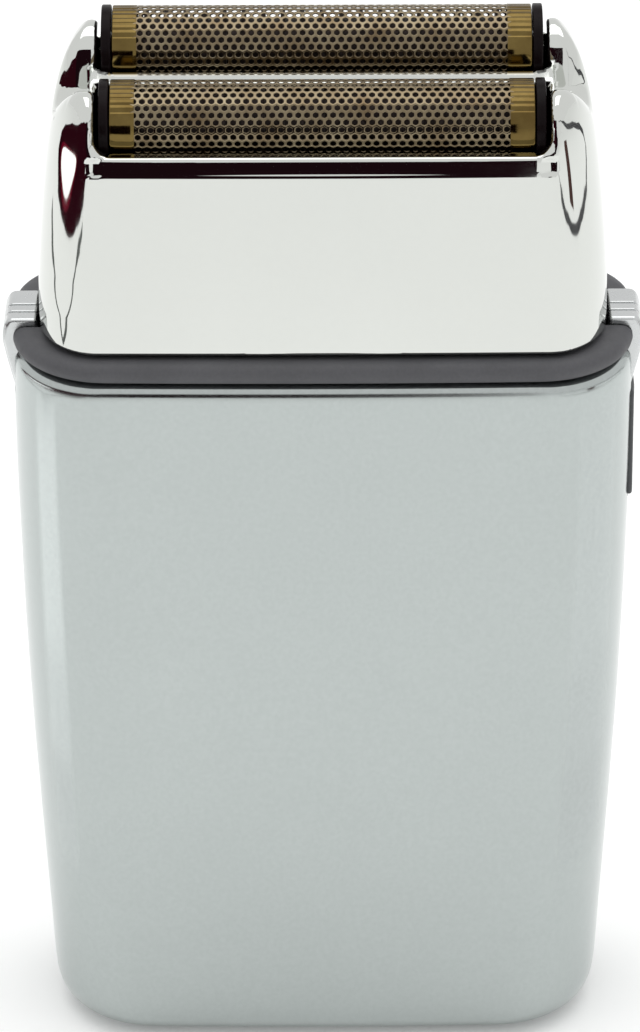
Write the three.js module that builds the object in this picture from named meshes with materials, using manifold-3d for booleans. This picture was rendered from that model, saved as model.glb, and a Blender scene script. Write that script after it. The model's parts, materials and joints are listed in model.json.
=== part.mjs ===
// Double-foil shaver, built as an assembly of separate pieces.
// Frame: millimetres, +Z up, front of the shaver faces -Y, +X to its right seen from the front.
// The origin is the centre of the flat base the shaver stands on.
import * as THREE from 'three';
import Module from 'manifold-3d';
import { mergeVertices } from 'three/addons/utils/BufferGeometryUtils.js';

// ---------------------------------------------------------------- driving dimensions
const WALL = 1.5; // casing wall at the corners
const HEAD_WALL = 1.4;
// Corners of a plan outline are quarter ellipses; crown is the bulge of its front and back.
const BODY_PLAN = { cornerX: 9.5, cornerY: 11.6, crown: 0.6 };
const BODY_INNER_PLAN = {
  ...BODY_PLAN,
  cornerX: BODY_PLAN.cornerX - WALL,
  cornerY: BODY_PLAN.cornerY - WALL,
};
const HEAD_PLAN = { cornerX: 6.5, cornerY: 9.5, crown: 0.25 };
const COARSE = { faceSteps: 2, cornerSteps: 3 };

// z, half width, half depth
const BODY_SECTIONS = [
  [0.6, 26.9, 11.1], [1.0, 27.8, 12.0], [1.6, 28.5, 12.7], [2.6, 29.0, 13.15],
  [4.2, 29.25, 13.4], [12, 29.75, 13.6], [24, 30.5, 13.85], [38, 31.25, 14.05],
  [52, 31.75, 14.2], [66, 32.05, 14.3], [75.6, 32.1, 14.3], [76.7, 31.9, 14.1],
  [77.2, 31.4, 13.6],
];
const BODY_INNER_SECTIONS = [
  [2.7, 27.4, 11.6], [4.4, 27.75, 11.9], [24, 29.0, 12.35], [52, 30.25, 12.7],
  [78, 30.6, 12.8],
];
const COLLAR_SECTIONS = [
  [77.5, 31.6, 14.05], [77.9, 32.0, 14.4], [78.6, 32.15, 14.55], [79.3, 32.0, 14.4],
  [79.8, 31.5, 13.9],
];
// z, half width, depth to the front, depth to the back
const HEAD_SECTIONS = [
  [80.1, 29.05, 12.8, 12.8], [80.6, 29.3, 13.05, 13.05], [84, 29.3, 12.95, 13.0],
  [88, 29.1, 12.8, 13.0], [92.1, 28.8, 12.55, 12.95], [97.6, 28.3, 12.0, 12.9],
  [100, 28.05, 11.75, 12.85], [102.7, 27.6, 11.5, 12.8], [105.2, 26.95, 11.4, 12.7],
  [106.9, 26.4, 11.4, 12.5], [107.8, 26.0, 11.4, 12.4], [108.7, 25.5, 11.4, 12.2],
  [109.5, 24.7, 11.4, 12.0], [110.5, 23.6, 11.4, 12.0],
];

const TILT = THREE.MathUtils.degToRad(20); // forward tilt of the foil plane
const FOIL_RADIUS = 4.3; // outside
const FOIL_THICKNESS = 0.25;
const FOIL_HALF = 21.85; // half length
const FRAME_HALF = 23.0; // half length of a foil frame
const OPENING_HALF = 23.4; // half length of the head openings
const OPENING_DEPTH_HALF = 4.75; // across the tilted plane
const STROKE = 1.2; // oscillation of each cutter to each side
const OSCILLATOR_THICKNESS = 1.8;
const MOTOR = { bottom: 36.5, top: 64.3, radius: 10.2, flat: 7.6 }; // flat: half depth

// Screw and hole positions
const BASE_SCREW_X = 14;
const MOTOR_SCREW_X = 6.5;
const BOARD_SCREW_X = 22.9;
const BOARD_SCREW_Z = 50;
const DECK_SCREWS = [[-18, -7.6], [18, -7.6], [-18, 7.6], [18, 7.6]]; // x, y
const LENS_X = 7.5;
const NOTCH_HALF = 4.2; // half depth of the notches around the button pads
const PAD_HALF = NOTCH_HALF - 0.3;
const SIDES = [-1, 1]; // left, right

// ---------------------------------------------------------------- finishes
const FINISH = {
  satin: { color: 0xb9c1bf, roughness: 0.32, metalness: 1 },
  chrome: { color: 0xe4e6e3, roughness: 0.05, metalness: 1 },
  grey: { color: 0x5d5d5e, roughness: 0.6, metalness: 0 },
  black: { color: 0x121113, roughness: 0.35, metalness: 0 },
  gold: { color: 0xb59a52, roughness: 0.28, metalness: 1 },
  steel: { color: 0xb6b8ba, roughness: 0.3, metalness: 1 },
  silver: { color: 0xd0d2d4, roughness: 0.25, metalness: 1 },
  dark: { color: 0x26272a, roughness: 0.5, metalness: 0 },
  white: { color: 0xd9dad6, roughness: 0.5, metalness: 0 },
  lens: { color: 0xdfe3e6, roughness: 0.15, metalness: 0 },
  batteryBlue: { color: 0x2f6fa3, roughness: 0.45, metalness: 0 },
  boardGreen: { color: 0x1f5a3a, roughness: 0.5, metalness: 0 },
  brass: { color: 0xc9a24a, roughness: 0.35, metalness: 1 },
  redLead: { color: 0xb03028, roughness: 0.5, metalness: 0 },
  blackLead: { color: 0x161616, roughness: 0.5, metalness: 0 },
};

// ---------------------------------------------------------------- solids
const wasm = await Module();
wasm.setup();

function toSolid(shape) {
  if (!(shape instanceof THREE.BufferGeometry)) return shape;
  const bare = shape.clone();
  for (const name of Object.keys(bare.attributes)) {
    if (name !== 'position') bare.deleteAttribute(name);
  }
  const merged = mergeVertices(bare, 1e-4);
  const { position } = merged.attributes;
  const index = merged.index.array;
  const corner = (i) => new THREE.Vector3().fromBufferAttribute(position, i);
  const triangles = [];
  let volume = 0;
  for (let i = 0; i < index.length; i += 3) {
    const [a, b, c] = [index[i], index[i + 1], index[i + 2]];
    if (a === b || b === c || c === a) continue;
    triangles.push(a, b, c);
    volume += corner(a).dot(corner(b).cross(corner(c)));
  }
  // faces point outwards
  if (volume < 0) {
    for (let i = 0; i < triangles.length; i += 3) {
      [triangles[i], triangles[i + 1]] = [triangles[i + 1], triangles[i]];
    }
  }
  return new wasm.Manifold(new wasm.Mesh({
    numProp: 3,
    vertProperties: Float32Array.from(position.array),
    triVerts: Uint32Array.from(triangles),
  }));
}

function toGeometry(shape) {
  const mesh = toSolid(shape).getMesh();
  const positions = new Float32Array(mesh.numVert * 3);
  for (let i = 0; i < mesh.numVert; i++) {
    for (let k = 0; k < 3; k++) {
      positions[3 * i + k] = mesh.vertProperties[mesh.numProp * i + k];
    }
  }
  const geometry = new THREE.BufferGeometry();
  geometry.setAttribute('position', new THREE.BufferAttribute(positions, 3));
  geometry.setIndex(new THREE.BufferAttribute(Uint32Array.from(mesh.triVerts), 1));
  return geometry;
}

const add = (...shapes) => shapes.map(toSolid).reduce((a, b) => a.add(b));
const cut = (base, ...tools) => tools.map(toSolid).reduce((a, b) => a.subtract(b), toSolid(base));
const intersect = (a, b) => toSolid(a).intersect(toSolid(b));

const root = new THREE.Group();
function piece(name, shape, finish) {
  const mesh = new THREE.Mesh(toGeometry(shape), new THREE.MeshStandardMaterial(finish));
  mesh.name = name;
  root.add(mesh);
}

// ---------------------------------------------------------------- shape helpers
function moved(shape, matrix) {
  const geometry = shape instanceof THREE.BufferGeometry ? shape.clone() : toGeometry(shape);
  return geometry.applyMatrix4(matrix);
}
const at = (x, y, z) => new THREE.Matrix4().makeTranslation(x, y, z);
// frame in the tilted foil plane: x along X, y backwards along the plane, z out of it
const tiltedFrame = (y, z) => at(0, y, z).multiply(new THREE.Matrix4().makeRotationX(TILT));
const span = (half, centre = 0) => [centre - half, centre + half];
const ordered = (a, b) => [Math.min(a, b), Math.max(a, b)];

// closed skin through a stack of plan outlines with equal point counts
function loft(rings) {
  const count = rings[0].length;
  const positions = rings.flat(2);
  const index = [];
  for (let k = 0; k + 1 < rings.length; k++) {
    for (let i = 0; i < count; i++) {
      const a = k * count + i;
      const b = k * count + (i + 1) % count;
      index.push(a, b, b + count, a, b + count, a + count);
    }
  }
  const cap = (k, up) => {
    const centre = [0, 0, 0];
    for (const point of rings[k]) {
      for (let j = 0; j < 3; j++) centre[j] += point[j] / count;
    }
    const centreIndex = positions.length / 3;
    positions.push(...centre);
    for (let i = 0; i < count; i++) {
      const a = k * count + i;
      const b = k * count + (i + 1) % count;
      index.push(centreIndex, ...(up ? [a, b] : [b, a]));
    }
  };
  cap(0, false);
  cap(rings.length - 1, true);
  const geometry = new THREE.BufferGeometry();
  geometry.setAttribute('position', new THREE.Float32BufferAttribute(positions, 3));
  geometry.setIndex(index);
  return geometry;
}

// plan outline: crowned front and back, elliptical corners, flat sides, counter-clockwise
function outline([z, halfWidth, front, back = front], plan) {
  const { cornerX, cornerY, crown, faceSteps = 4, cornerSteps = 5 } = plan;
  const faceX = halfWidth - cornerX;
  const half = (depth) => {
    const cornerTop = depth - crown;
    const radiusY = Math.min(cornerY, cornerTop - 0.6);
    const quarter = [];
    for (let i = 0; i <= cornerSteps; i++) {
      const angle = (i / cornerSteps) * Math.PI / 2;
      quarter.push([
        faceX + cornerX * Math.cos(angle),
        (cornerTop - radiusY) + radiusY * Math.sin(angle),
      ]);
    }
    const face = [];
    for (let i = 1; i < faceSteps; i++) {
      const x = faceX - (2 * faceX * i) / faceSteps;
      face.push([x, depth - crown * (x / faceX) ** 2]);
    }
    return [...quarter, ...face, ...quarter.slice().reverse().map(([x, y]) => [-x, y])];
  };
  return [...half(back), ...half(front).map(([x, y]) => [-x, -y])].map(([x, y]) => [x, y, z]);
}

// loft through sections of one plan, each offset outwards by grow
function stack(sections, plan, grow = 0) {
  const grown = {
    ...plan,
    cornerX: Math.max(plan.cornerX + grow, 1),
    cornerY: Math.max(plan.cornerY + grow, 1),
  };
  return loft(sections.map(([z, ...sizes]) => outline([z, ...sizes.map((d) => d + grow)], grown)));
}
// upright plate or tube core of constant outline
const slab = (halfWidth, halfDepth, heights, plan) =>
  stack(heights.map((z) => [z, halfWidth, halfDepth]), plan);

// box over three [low, high] ranges
function box([x0, x1], [y0, y1], [z0, z1]) {
  const geometry = new THREE.BoxGeometry(x1 - x0, y1 - y0, z1 - z0);
  return moved(geometry, at((x0 + x1) / 2, (y0 + y1) / 2, (z0 + z1) / 2));
}
// the same box on the left and on the right
const boxPair = ([x0, x1], y, z) => [box([-x1, -x0], y, z), box([x0, x1], y, z)];

function cylinderZ(radius, [z0, z1], [x, y], segments) {
  const geometry = new THREE.CylinderGeometry(radius, radius, z1 - z0, segments);
  geometry.rotateX(Math.PI / 2);
  return moved(geometry, at(x, y, (z0 + z1) / 2));
}
function cylinderY(radius, [y0, y1], [x, z], segments) {
  const geometry = new THREE.CylinderGeometry(radius, radius, y1 - y0, segments);
  return moved(geometry, at(x, (y0 + y1) / 2, z));
}
const CENTRE = [0, 0];

const toShape = (points) => new THREE.Shape(points.map(([x, y]) => new THREE.Vector2(x, y)));
const extrude = (points, depth) =>
  new THREE.ExtrudeGeometry(toShape(points), { depth, bevelEnabled: false, steps: 1 });
const sweep = (points, extrudePath, steps) =>
  new THREE.ExtrudeGeometry(toShape(points), { extrudePath, steps, bevelEnabled: false });
// prism along X over a [y, z] outline
function prismX(points, [x0, x1]) {
  // local x -> y, local y -> z, local z -> x
  const axes = new THREE.Matrix4().set(0, 0, 1, x0, 1, 0, 0, 0, 0, 1, 0, 0, 0, 0, 0, 1);
  return moved(extrude(points, x1 - x0), axes);
}
// prism along Z over an [x, y] outline
const prismZ = (points, [z0, z1]) => moved(extrude(points, z1 - z0), at(0, 0, z0));

// body of revolution about a vertical axis, from an [r, z] profile
function lathe(profile, segments, x = 0) {
  const points = profile.map(([r, z]) => new THREE.Vector2(r, z));
  const geometry = new THREE.LatheGeometry(points, segments);
  geometry.rotateX(Math.PI / 2);
  return moved(geometry, at(x, 0, 0));
}

function arc(radius, from, to, steps, [x, y] = CENTRE) {
  const points = [];
  for (let i = 0; i <= steps; i++) {
    const angle = THREE.MathUtils.degToRad(from + (to - from) * i / steps);
    points.push([radius * Math.cos(angle) + x, radius * Math.sin(angle) + y]);
  }
  return points;
}

const SPRING_HEIGHT = 1.9;
const SPRING_TURNS = 2.5;
class Helix extends THREE.Curve {
  constructor(radius) {
    super();
    this.radius = radius;
  }

  getPoint(t, target = new THREE.Vector3()) {
    const angle = t * SPRING_TURNS * 2 * Math.PI;
    const { radius } = this;
    return target.set(radius * Math.cos(angle), radius * Math.sin(angle), SPRING_HEIGHT * t);
  }
}
// helical compression spring rising from the origin, wire of five sides
const spring = (radius, wireRadius) =>
  sweep(arc(wireRadius, 0, 288, 4), new Helix(radius), Math.round(SPRING_TURNS * 9));

// The two cutting units. post: drive post into the cutter; plateZ: underside of its oscillator.
const FRONT = { name: 'front', foilY: -5.5, foilZ: 102.9, postY: -5.8, postTip: 99.5, plateZ: 68.4 };
const REAR = { name: 'rear', foilY: 5.5, foilZ: 106.9, postY: 6.2, postTip: 103.2, plateZ: 71.4 };
const UNITS = [FRONT, REAR];
for (const unit of UNITS) unit.frame = tiltedFrame(unit.foilY, unit.foilZ);
const MID_FRAME = tiltedFrame(0, (FRONT.foilZ + REAR.foilZ) / 2);

// ---------------------------------------------------------------- casings
const FLOOR_PLAN = { cornerX: 5, cornerY: 5, crown: 0.3, ...COARSE };
const SEAM_HALF = 0.15; // half the gap between the casings

const casingShell = cut(
  stack(BODY_SECTIONS, BODY_PLAN),
  stack(BODY_INNER_SECTIONS, BODY_INNER_PLAN),
  slab(21.8, 8.5, [-1, 4], FLOOR_PLAN),
  // side notches: left for the button, right for the button and the switch
  box([-40, -29.2], span(NOTCH_HALF), [72.4, 90]),
  box([29.2, 40], span(NOTCH_HALF), [60.2, 90]),
);
const casing = (removedY) => cut(casingShell, box(span(50), removedY, [-5, 100]));
piece('front_casing', casing([-SEAM_HALF, 50]), FINISH.satin);
piece('rear_casing', casing([-50, SEAM_HALF]), FINISH.satin);

// ---------------------------------------------------------------- base
function baseCap() {
  const chamferPlan = { ...FLOOR_PLAN, cornerX: 4.5, cornerY: 4.5 };
  const flangePlan = { ...FLOOR_PLAN, cornerX: 6, cornerY: 6 };
  const plug = loft([
    outline([0, 21.0, 7.7], chamferPlan),
    outline([0.5, 21.5, 8.2], FLOOR_PLAN),
    outline([3.0, 21.5, 8.2], FLOOR_PLAN),
  ]);
  return cut(
    add(plug, slab(23.6, 9.8, [3.0, 4.3], flangePlan)),
    cylinderZ(4.0, [-1, 9], CENTRE, 20),
    cylinderZ(1.2, [-1, 9], [LENS_X, 0], 12),
    ...SIDES.flatMap((side) => [
      cylinderZ(2.1, [-1, 2.1], [side * BASE_SCREW_X, 0], 12),
      cylinderZ(1.1, [1, 9], [side * BASE_SCREW_X, 0], 12),
    ]),
  );
}
piece('base_cap', baseCap(), FINISH.dark);

// round power socket: barrel, bore and centre pin in one moulding; r, z
const SOCKET_PROFILE = [
  [0, 1.3], [0.7, 1.6], [0.7, 5.6], [2.6, 5.6], [2.6, 0.5], [3.6, 0.5], [3.6, 6.9], [0, 6.9],
];
const LENS_PROFILE = [[0, 0.35], [0.7, 0.45], [0.9, 0.8], [0.9, 4.6], [0, 4.6]]; // r, z
piece('charging_socket', lathe(SOCKET_PROFILE, 16), FINISH.dark);
piece('indicator_lens', lathe(LENS_PROFILE, 12, LENS_X), FINISH.lens);

// ---------------------------------------------------------------- collar and deck
const RIM_PLAN = { cornerX: 7, cornerY: 8, crown: 0.3 };
const collarRing = cut(
  stack(COLLAR_SECTIONS, BODY_PLAN),
  slab(27.75, 11.2, [70, 90], RIM_PLAN),
  ...boxPair([28.6, 40], span(NOTCH_HALF), [70, 90]),
);
piece('collar_ring', collarRing, FINISH.grey);

function driveDeck() {
  const through = [70, 90];
  const recess = [78.4, 90];
  const raisedPlan = { ...RIM_PLAN, cornerX: 6.5, cornerY: 7.5 };
  const plate = add(
    slab(28.6, 12.1, [75.4, 77.0], RIM_PLAN),
    slab(27.4, 10.7, [77.0, 79.6], raisedPlan),
  );
  const opened = cut(
    plate,
    ...UNITS.map(({ postY }) => box(span(3.4), span(1.5, postY), through)),
    ...boxPair([24.4, 30], span(3.4), through), // release button arms
    box(span(16), [-11, -8.6], recess),
    ...boxPair([8, 24], span(3.2), recess),
  );
  // fingers under the deck that the button springs push against
  const fingers = boxPair([21.4, 22.6], span(2.2), [70.4, 75.8]);
  return cut(
    add(opened, ...fingers),
    ...DECK_SCREWS.flatMap((centre) => [
      cylinderZ(2.1, [78.2, 90], centre, 12),
      cylinderZ(1.1, through, centre, 12),
    ]),
  );
}
piece('drive_deck', driveDeck(), FINISH.black);

// ---------------------------------------------------------------- chassis
function chassis() {
  const outerX = 25.0;
  const depthHalf = 9.2;
  const bottom = 4.7;
  const top = 67.3;
  const crossbar = [33.2, 35.8]; // z of the bars along the front and the back
  const frame = add(
    ...boxPair([21.5, outerX], span(depthHalf), [bottom, top]),
    box(span(outerX), span(depthHalf), [bottom, 7.0]),
    box(span(outerX), span(depthHalf), [64.7, top]),
    box(span(outerX), [7.9, depthHalf], crossbar),
    box(span(outerX), [-depthHalf, -7.9], crossbar),
    // screw posts, set a hair inwards of the screws
    ...DECK_SCREWS.map(([x, y]) => cylinderZ(2.3, [66, 75.1], [x, y * 0.999], 10)),
  );
  const opened = cut(
    frame,
    cylinderZ(4.0, [0, 10], CENTRE, 16), // power socket
    cylinderZ(3.3, [60, 70], CENTRE, 16), // motor boss
    ...SIDES.flatMap((side) => [
      cylinderZ(0.95, [0, 20], [side * BASE_SCREW_X, 0], 10),
      cylinderZ(1.8, [66.0, 70], [side * MOTOR_SCREW_X, 0], 12),
      cylinderZ(1.0, [60, 70], [side * MOTOR_SCREW_X, 0], 10),
      cylinderY(0.95, [-12, -4], [side * BOARD_SCREW_X, BOARD_SCREW_Z], 10),
    ]),
    ...DECK_SCREWS.map((centre) => cylinderZ(0.95, [70, 80], centre, 10)),
    // side windows lighten the rails
    ...boxPair([19, 27], span(5), [10, 30]),
  );
  // the frame follows the inside of the casings with clearance
  return intersect(opened, stack(BODY_INNER_SECTIONS, BODY_INNER_PLAN, -0.35));
}
piece('chassis', chassis(), FINISH.dark);

// ---------------------------------------------------------------- power and drive
function batteryCell() {
  const plan = { cornerX: 3, cornerY: 3, crown: 0.1, ...COARSE };
  const endPlan = { ...plan, cornerX: 2.4, cornerY: 2.4 };
  return loft([
    outline([7.3, 18.2, 4.7], endPlan),
    outline([8.3, 19, 5.5], plan),
    outline([31.9, 19, 5.5], plan),
    outline([32.9, 18.2, 4.7], endPlan),
  ]);
}
piece('battery_cell', batteryCell(), FINISH.batteryBlue);

function circuitBoard() {
  const thickness = [-10.8, -9.6];
  const board = add(
    box(span(20.8), thickness, [9, 62]),
    box(span(24.7), thickness, span(3, BOARD_SCREW_Z)), // screw ears
    // raised blocks on the front
    box([-8, 1], [-11.7, -10.5], [22, 31]),
    box([6, 12], [-11.5, -10.5], [38, 42]),
    box([-16, -12], [-11.5, -10.5], [44, 50]),
  );
  return cut(
    board,
    ...SIDES.map((side) => (
      cylinderY(1.05, [-12, -8], [side * BOARD_SCREW_X, BOARD_SCREW_Z], 10))),
    box(span(5), [-13, -8], [0, 14]),
  );
}
piece('circuit_board', circuitBoard(), FINISH.boardGreen);

// motor outline, round at the sides and flat at front and back, shrunk all round by inset
function motorBlock(inset, heights) {
  const radius = MOTOR.radius - inset;
  const angle = THREE.MathUtils.radToDeg(Math.asin((MOTOR.flat - inset) / radius));
  const right = arc(radius, -angle, angle, 6);
  return prismZ([...right, ...arc(radius, 180 - angle, 180 + angle, 6)], heights);
}
const motorCan = cut(
  add(
    cut(
      motorBlock(0, [MOTOR.bottom, MOTOR.top]),
      motorBlock(0.9, [MOTOR.bottom - 1, MOTOR.top - 1.2]),
    ),
    cylinderZ(3.0, [MOTOR.top - 0.5, MOTOR.top + 2.2], CENTRE, 16),
  ),
  cylinderZ(1.3, [50, 80], CENTRE, 12),
  ...SIDES.map((side) => cylinderZ(0.9, [60, 70], [side * MOTOR_SCREW_X, 0], 10)),
);
piece('motor_can', motorCan, FINISH.steel);

const motorEndcap = cut(
  add(motorBlock(0, [34.2, 36.2]), motorBlock(1.2, [36.0, 38.0])),
  cylinderZ(1.3, [35.2, 40], CENTRE, 12),
);
piece('motor_endcap', motorEndcap, FINISH.white);

// shaft with the rotor core on it; r, z
const ROTOR_PROFILE = [
  [0, 36.4], [1.0, 36.4], [1.0, 40], [5.9, 40], [5.9, 58], [1.0, 58], [1.0, 73.9], [0, 73.9],
];
piece('motor_rotor', lathe(ROTOR_PROFILE, 16), FINISH.steel);

// opposed discs, one in each oscillator window
const doubleEccentric = cut(
  add(
    cylinderZ(2.2, [FRONT.plateZ, FRONT.plateZ + OSCILLATOR_THICKNESS], [STROKE, 0], 16),
    cylinderZ(1.9, [69.8, 71.6], CENTRE, 16),
    cylinderZ(2.2, [71.2, REAR.plateZ + OSCILLATOR_THICKNESS], [-STROKE, 0], 16),
  ),
  cylinderZ(1.15, [60, 80], CENTRE, 16),
);
piece('double_eccentric', doubleEccentric, FINISH.brass);

// ---------------------------------------------------------------- cutting units
function oscillator({ postY, postTip, plateZ }) {
  const side = Math.sign(postY);
  const postHalf = 1.0;
  const plateY = ordered(-side * 4.6, postY + side * postHalf);
  return cut(
    add(
      box(span(6.6), plateY, [plateZ, plateZ + OSCILLATOR_THICKNESS]),
      box(span(2.2), span(postHalf, postY), [plateZ, postTip - 5.2]),
      box(span(1.2), span(0.8, postY), [postTip - 6, postTip]),
    ),
    // the window is larger than the sweep of its eccentric
    box(span(4.9), span(3.65), [plateZ - 1, plateZ + 3]),
  );
}

const cutterSpring = ({ postY, postTip }) => moved(spring(1.95, 0.22), at(0, postY, postTip - 4.7));

// bar under the blades with a socket in which the post ends
const CARRIER_OUTLINE = [
  [-2.7, -5.2], [2.7, -5.2], [3.0, -4.4], [3.0, -1.55], [-3.0, -1.55], [-3.0, -4.4],
];
const cutterCarrier = ({ postY, postTip, frame }) => cut(
  moved(prismX(CARRIER_OUTLINE, span(18)), frame),
  box(span(1.5), span(1.15, postY), [postTip - 12, postTip + 1.35]),
);

// solid arch over [-radius, radius], reaching down to bottom
const arch = (radius, bottom, along) =>
  prismX([[radius, bottom], ...arc(radius, 0, 180, 12), [-radius, bottom]], along);

function cutterBlades({ frame }) {
  const bottom = -1.2;
  const count = 21;
  const pitch = 2.0;
  const thickness = 0.45;
  const fins = [];
  for (let i = 0; i < count; i++) {
    fins.push(arch(3.75, bottom, span(thickness / 2, (i - (count - 1) / 2) * pitch)));
  }
  return moved(add(arch(2.9, bottom, span(20.4)), ...fins), frame);
}

function foil({ frame }) {
  const bottom = -1.6;
  const inner = FOIL_RADIUS - FOIL_THICKNESS;
  const section = [
    [FOIL_RADIUS, bottom], ...arc(FOIL_RADIUS, 0, 180, 16), [-FOIL_RADIUS, bottom],
    [-inner, bottom], ...arc(inner, 180, 0, 16), [inner, bottom],
  ];
  return moved(prismX(section, span(FOIL_HALF)), frame);
}

// arched end walls joined by a rail along each edge
function foilFrame({ frame }) {
  const radius = 4.4;
  const bottom = -3.4;
  const endInner = 22.15;
  const railInner = 3.45;
  const rail = (across) => box(span(FRAME_HALF), across, [bottom, -1.95]);
  return moved(add(
    arch(radius, bottom, [-FRAME_HALF, -endInner]),
    arch(radius, bottom, [endInner, FRAME_HALF]),
    rail([railInner, radius]),
    rail([-radius, -railInner]),
  ), frame);
}

for (const [name, build, finish] of [
  ['oscillator', oscillator, FINISH.white],
  ['cutter_spring', cutterSpring, FINISH.steel],
  ['cutter_carrier', cutterCarrier, FINISH.dark],
  ['cutter_blades', cutterBlades, FINISH.steel],
  ['foil', foil, FINISH.gold],
  ['foil_frame', foilFrame, FINISH.black],
]) {
  for (const unit of UNITS) piece(`${name}_${unit.name}`, build(unit), finish);
}

// ---------------------------------------------------------------- head
// y, z outline of the side walls: one rounded lobe beside each foil, a valley between them
const SIDE_OUTLINE = [
  [-15, 79], [15, 79], [15, 103.31],
  ...arc(5.0, 0, 65, 5, [7.95, 103.31]), // rear corner
  ...arc(2.85, 65, 168, 8, [4.5, 107.3]), // rear lobe
  [1.05, 104.7], [0.7, 103.85], [0.1, 103.55], [-0.9, 103.85],
  ...arc(3.0, 62, 170, 8, [-8.15, 104.3]), // front lobe
  [-12.04, 99.5], [-12.5, 98.2], [-15, 95],
];
// y, z outline removed above the front panel: it ends at a step,
// behind which a thin lip frames the front foil
const FRONT_STEP = [
  [-20, 99.5], [-11.35, 99.5], [-11.35, 101.3], [-8.5, 101.3], [-8.5, 125], [-20, 125],
];

function headFrame() {
  const bridgeHalf = 2.5; // the bridge lies between the two openings
  const bridgeTop = 0.9;
  const bridge = moved(
    box(span(OPENING_HALF + 0.25), span(bridgeHalf), [-3.4, bridgeTop]),
    MID_FRAME,
  );
  // hollow underneath, closed by a roof parallel to the foil plane
  const [lowest, ...upper] = HEAD_SECTIONS.slice(1, 12);
  const cavity = intersect(
    stack([[79, ...lowest.slice(1)], ...upper], HEAD_PLAN, -HEAD_WALL),
    moved(box(span(40), span(30), [-60, -3.3]), MID_FRAME),
  );
  const opening = box(span(OPENING_HALF), span(OPENING_DEPTH_HALF), [-4.7, 24]);
  return cut(
    intersect(stack(HEAD_SECTIONS, HEAD_PLAN), add(prismX(SIDE_OUTLINE, span(40)), bridge)),
    cavity,
    ...UNITS.map(({ frame }) => moved(opening, frame)),
    prismX(FRONT_STEP, span(OPENING_HALF)),
    moved(box(span(OPENING_HALF), span(bridgeHalf), [bridgeTop, 20]), MID_FRAME),
    box(span(OPENING_HALF), [8.0, 20], [107.9, 125]), // top of the rear wall
    // latch recesses in the side walls
    ...boxPair([26, 28.7], span(2.6), [82.2, 84.6]),
    // pockets the button pads move into when they are pressed
    ...boxPair([28.6, 40], span(NOTCH_HALF), [79, 81.0]),
  );
}
piece('head_frame', headFrame(), FINISH.chrome);

const LINER_PLAN = { cornerX: 5, cornerY: 8, crown: 0.2 };
const LINER_BORE_PLAN = { ...LINER_PLAN, cornerX: 4, cornerY: 7 };
const headLiner = cut(
  stack([[80.7, 27.0, 10.7], [91, 26.6, 10.3]], LINER_PLAN),
  stack([[79, 25.5, 9.2], [92, 25.1, 8.8]], LINER_BORE_PLAN),
  ...boxPair([20, 40], span(3.3), [70, 86]),
);
piece('head_liner', headLiner, FINISH.black);

// ---------------------------------------------------------------- release buttons
// x, z outline of the pad, which bulges out at the collar and tapers down the body
const PAD_OUTLINE = [
  [29.65, 72.8], [31.9, 72.8], [32.4, 74.6], [32.9, 76.8], [33.2, 78.4], [33.0, 79.7],
  [32.4, 80.4], [31.8, 80.6], [29.65, 80.6],
];
function releaseButton(side) {
  const pad = extrude(PAD_OUTLINE, 2 * PAD_HALF);
  pad.rotateX(Math.PI / 2); // local y -> z, local z -> -y
  const armInner = 25.6;
  const armBottom = 73.0;
  const armTop = 84.2;
  const button = cut(
    add(
      moved(pad, at(0, PAD_HALF, 0)),
      box([armInner, 30], span(2.4), [armBottom, 74.7]),
      box([armInner, 26.6], span(2.4), [armBottom, armTop]),
      box([26.2, 27.75], span(2.0), [82.6, armTop]), // latch
    ),
    // cross grooves give grip on the top of the pad
    ...[-1.9, 0].map((y) => box([29, 34], span(0.22, y), [80.3, 82])),
  );
  return moved(button, new THREE.Matrix4().makeRotationZ(side < 0 ? Math.PI : 0));
}

// lies along X and points outwards
function buttonSpring(side) {
  const coil = spring(1.15, 0.2);
  coil.rotateY(side * Math.PI / 2);
  return moved(coil, at(side * 23.1, 0, 73.0));
}

const sideName = (side) => (side < 0 ? 'left' : 'right');
for (const side of SIDES) {
  piece(`release_button_${sideName(side)}`, releaseButton(side), FINISH.silver);
}
for (const side of SIDES) {
  piece(`button_spring_${sideName(side)}`, buttonSpring(side), FINISH.steel);
}

// ---------------------------------------------------------------- power switch, right side
const BEZEL_OUTLINE = [ // x, y
  [30.95, -4.0], [32.3, -4.0], [32.5, -3.2], [32.5, 3.2], [32.3, 4.0], [30.95, 4.0],
];
const switchBezel = cut(
  prismZ(BEZEL_OUTLINE, [60.5, 72.1]),
  box([30, 34], span(2.0), [62.2, 71.0]),
);
piece('switch_bezel', switchBezel, FINISH.silver);

const switchSlider = cut(
  add(
    box([29.9, 30.7], span(2.7), [61.2, 68.2]),
    box([30.5, 32.35], span(1.7), [62.5, 67.0]),
    box([29.5, 30.2], span(0.7), [64.0, 65.4]),
  ),
  // grooves across the outer face
  ...[63.6, 64.75, 65.9].map((z) => box([32.1, 34], span(3), span(0.2, z))),
);
piece('switch_slider', switchSlider, FINISH.dark);

const switchBody = cut(
  box([25.3, 29.3], span(2.4), [60.4, 70.4]),
  box([28.4, 30], span(1.2), [62.4, 69.4]),
);
piece('switch_body', switchBody, FINISH.white);

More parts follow.
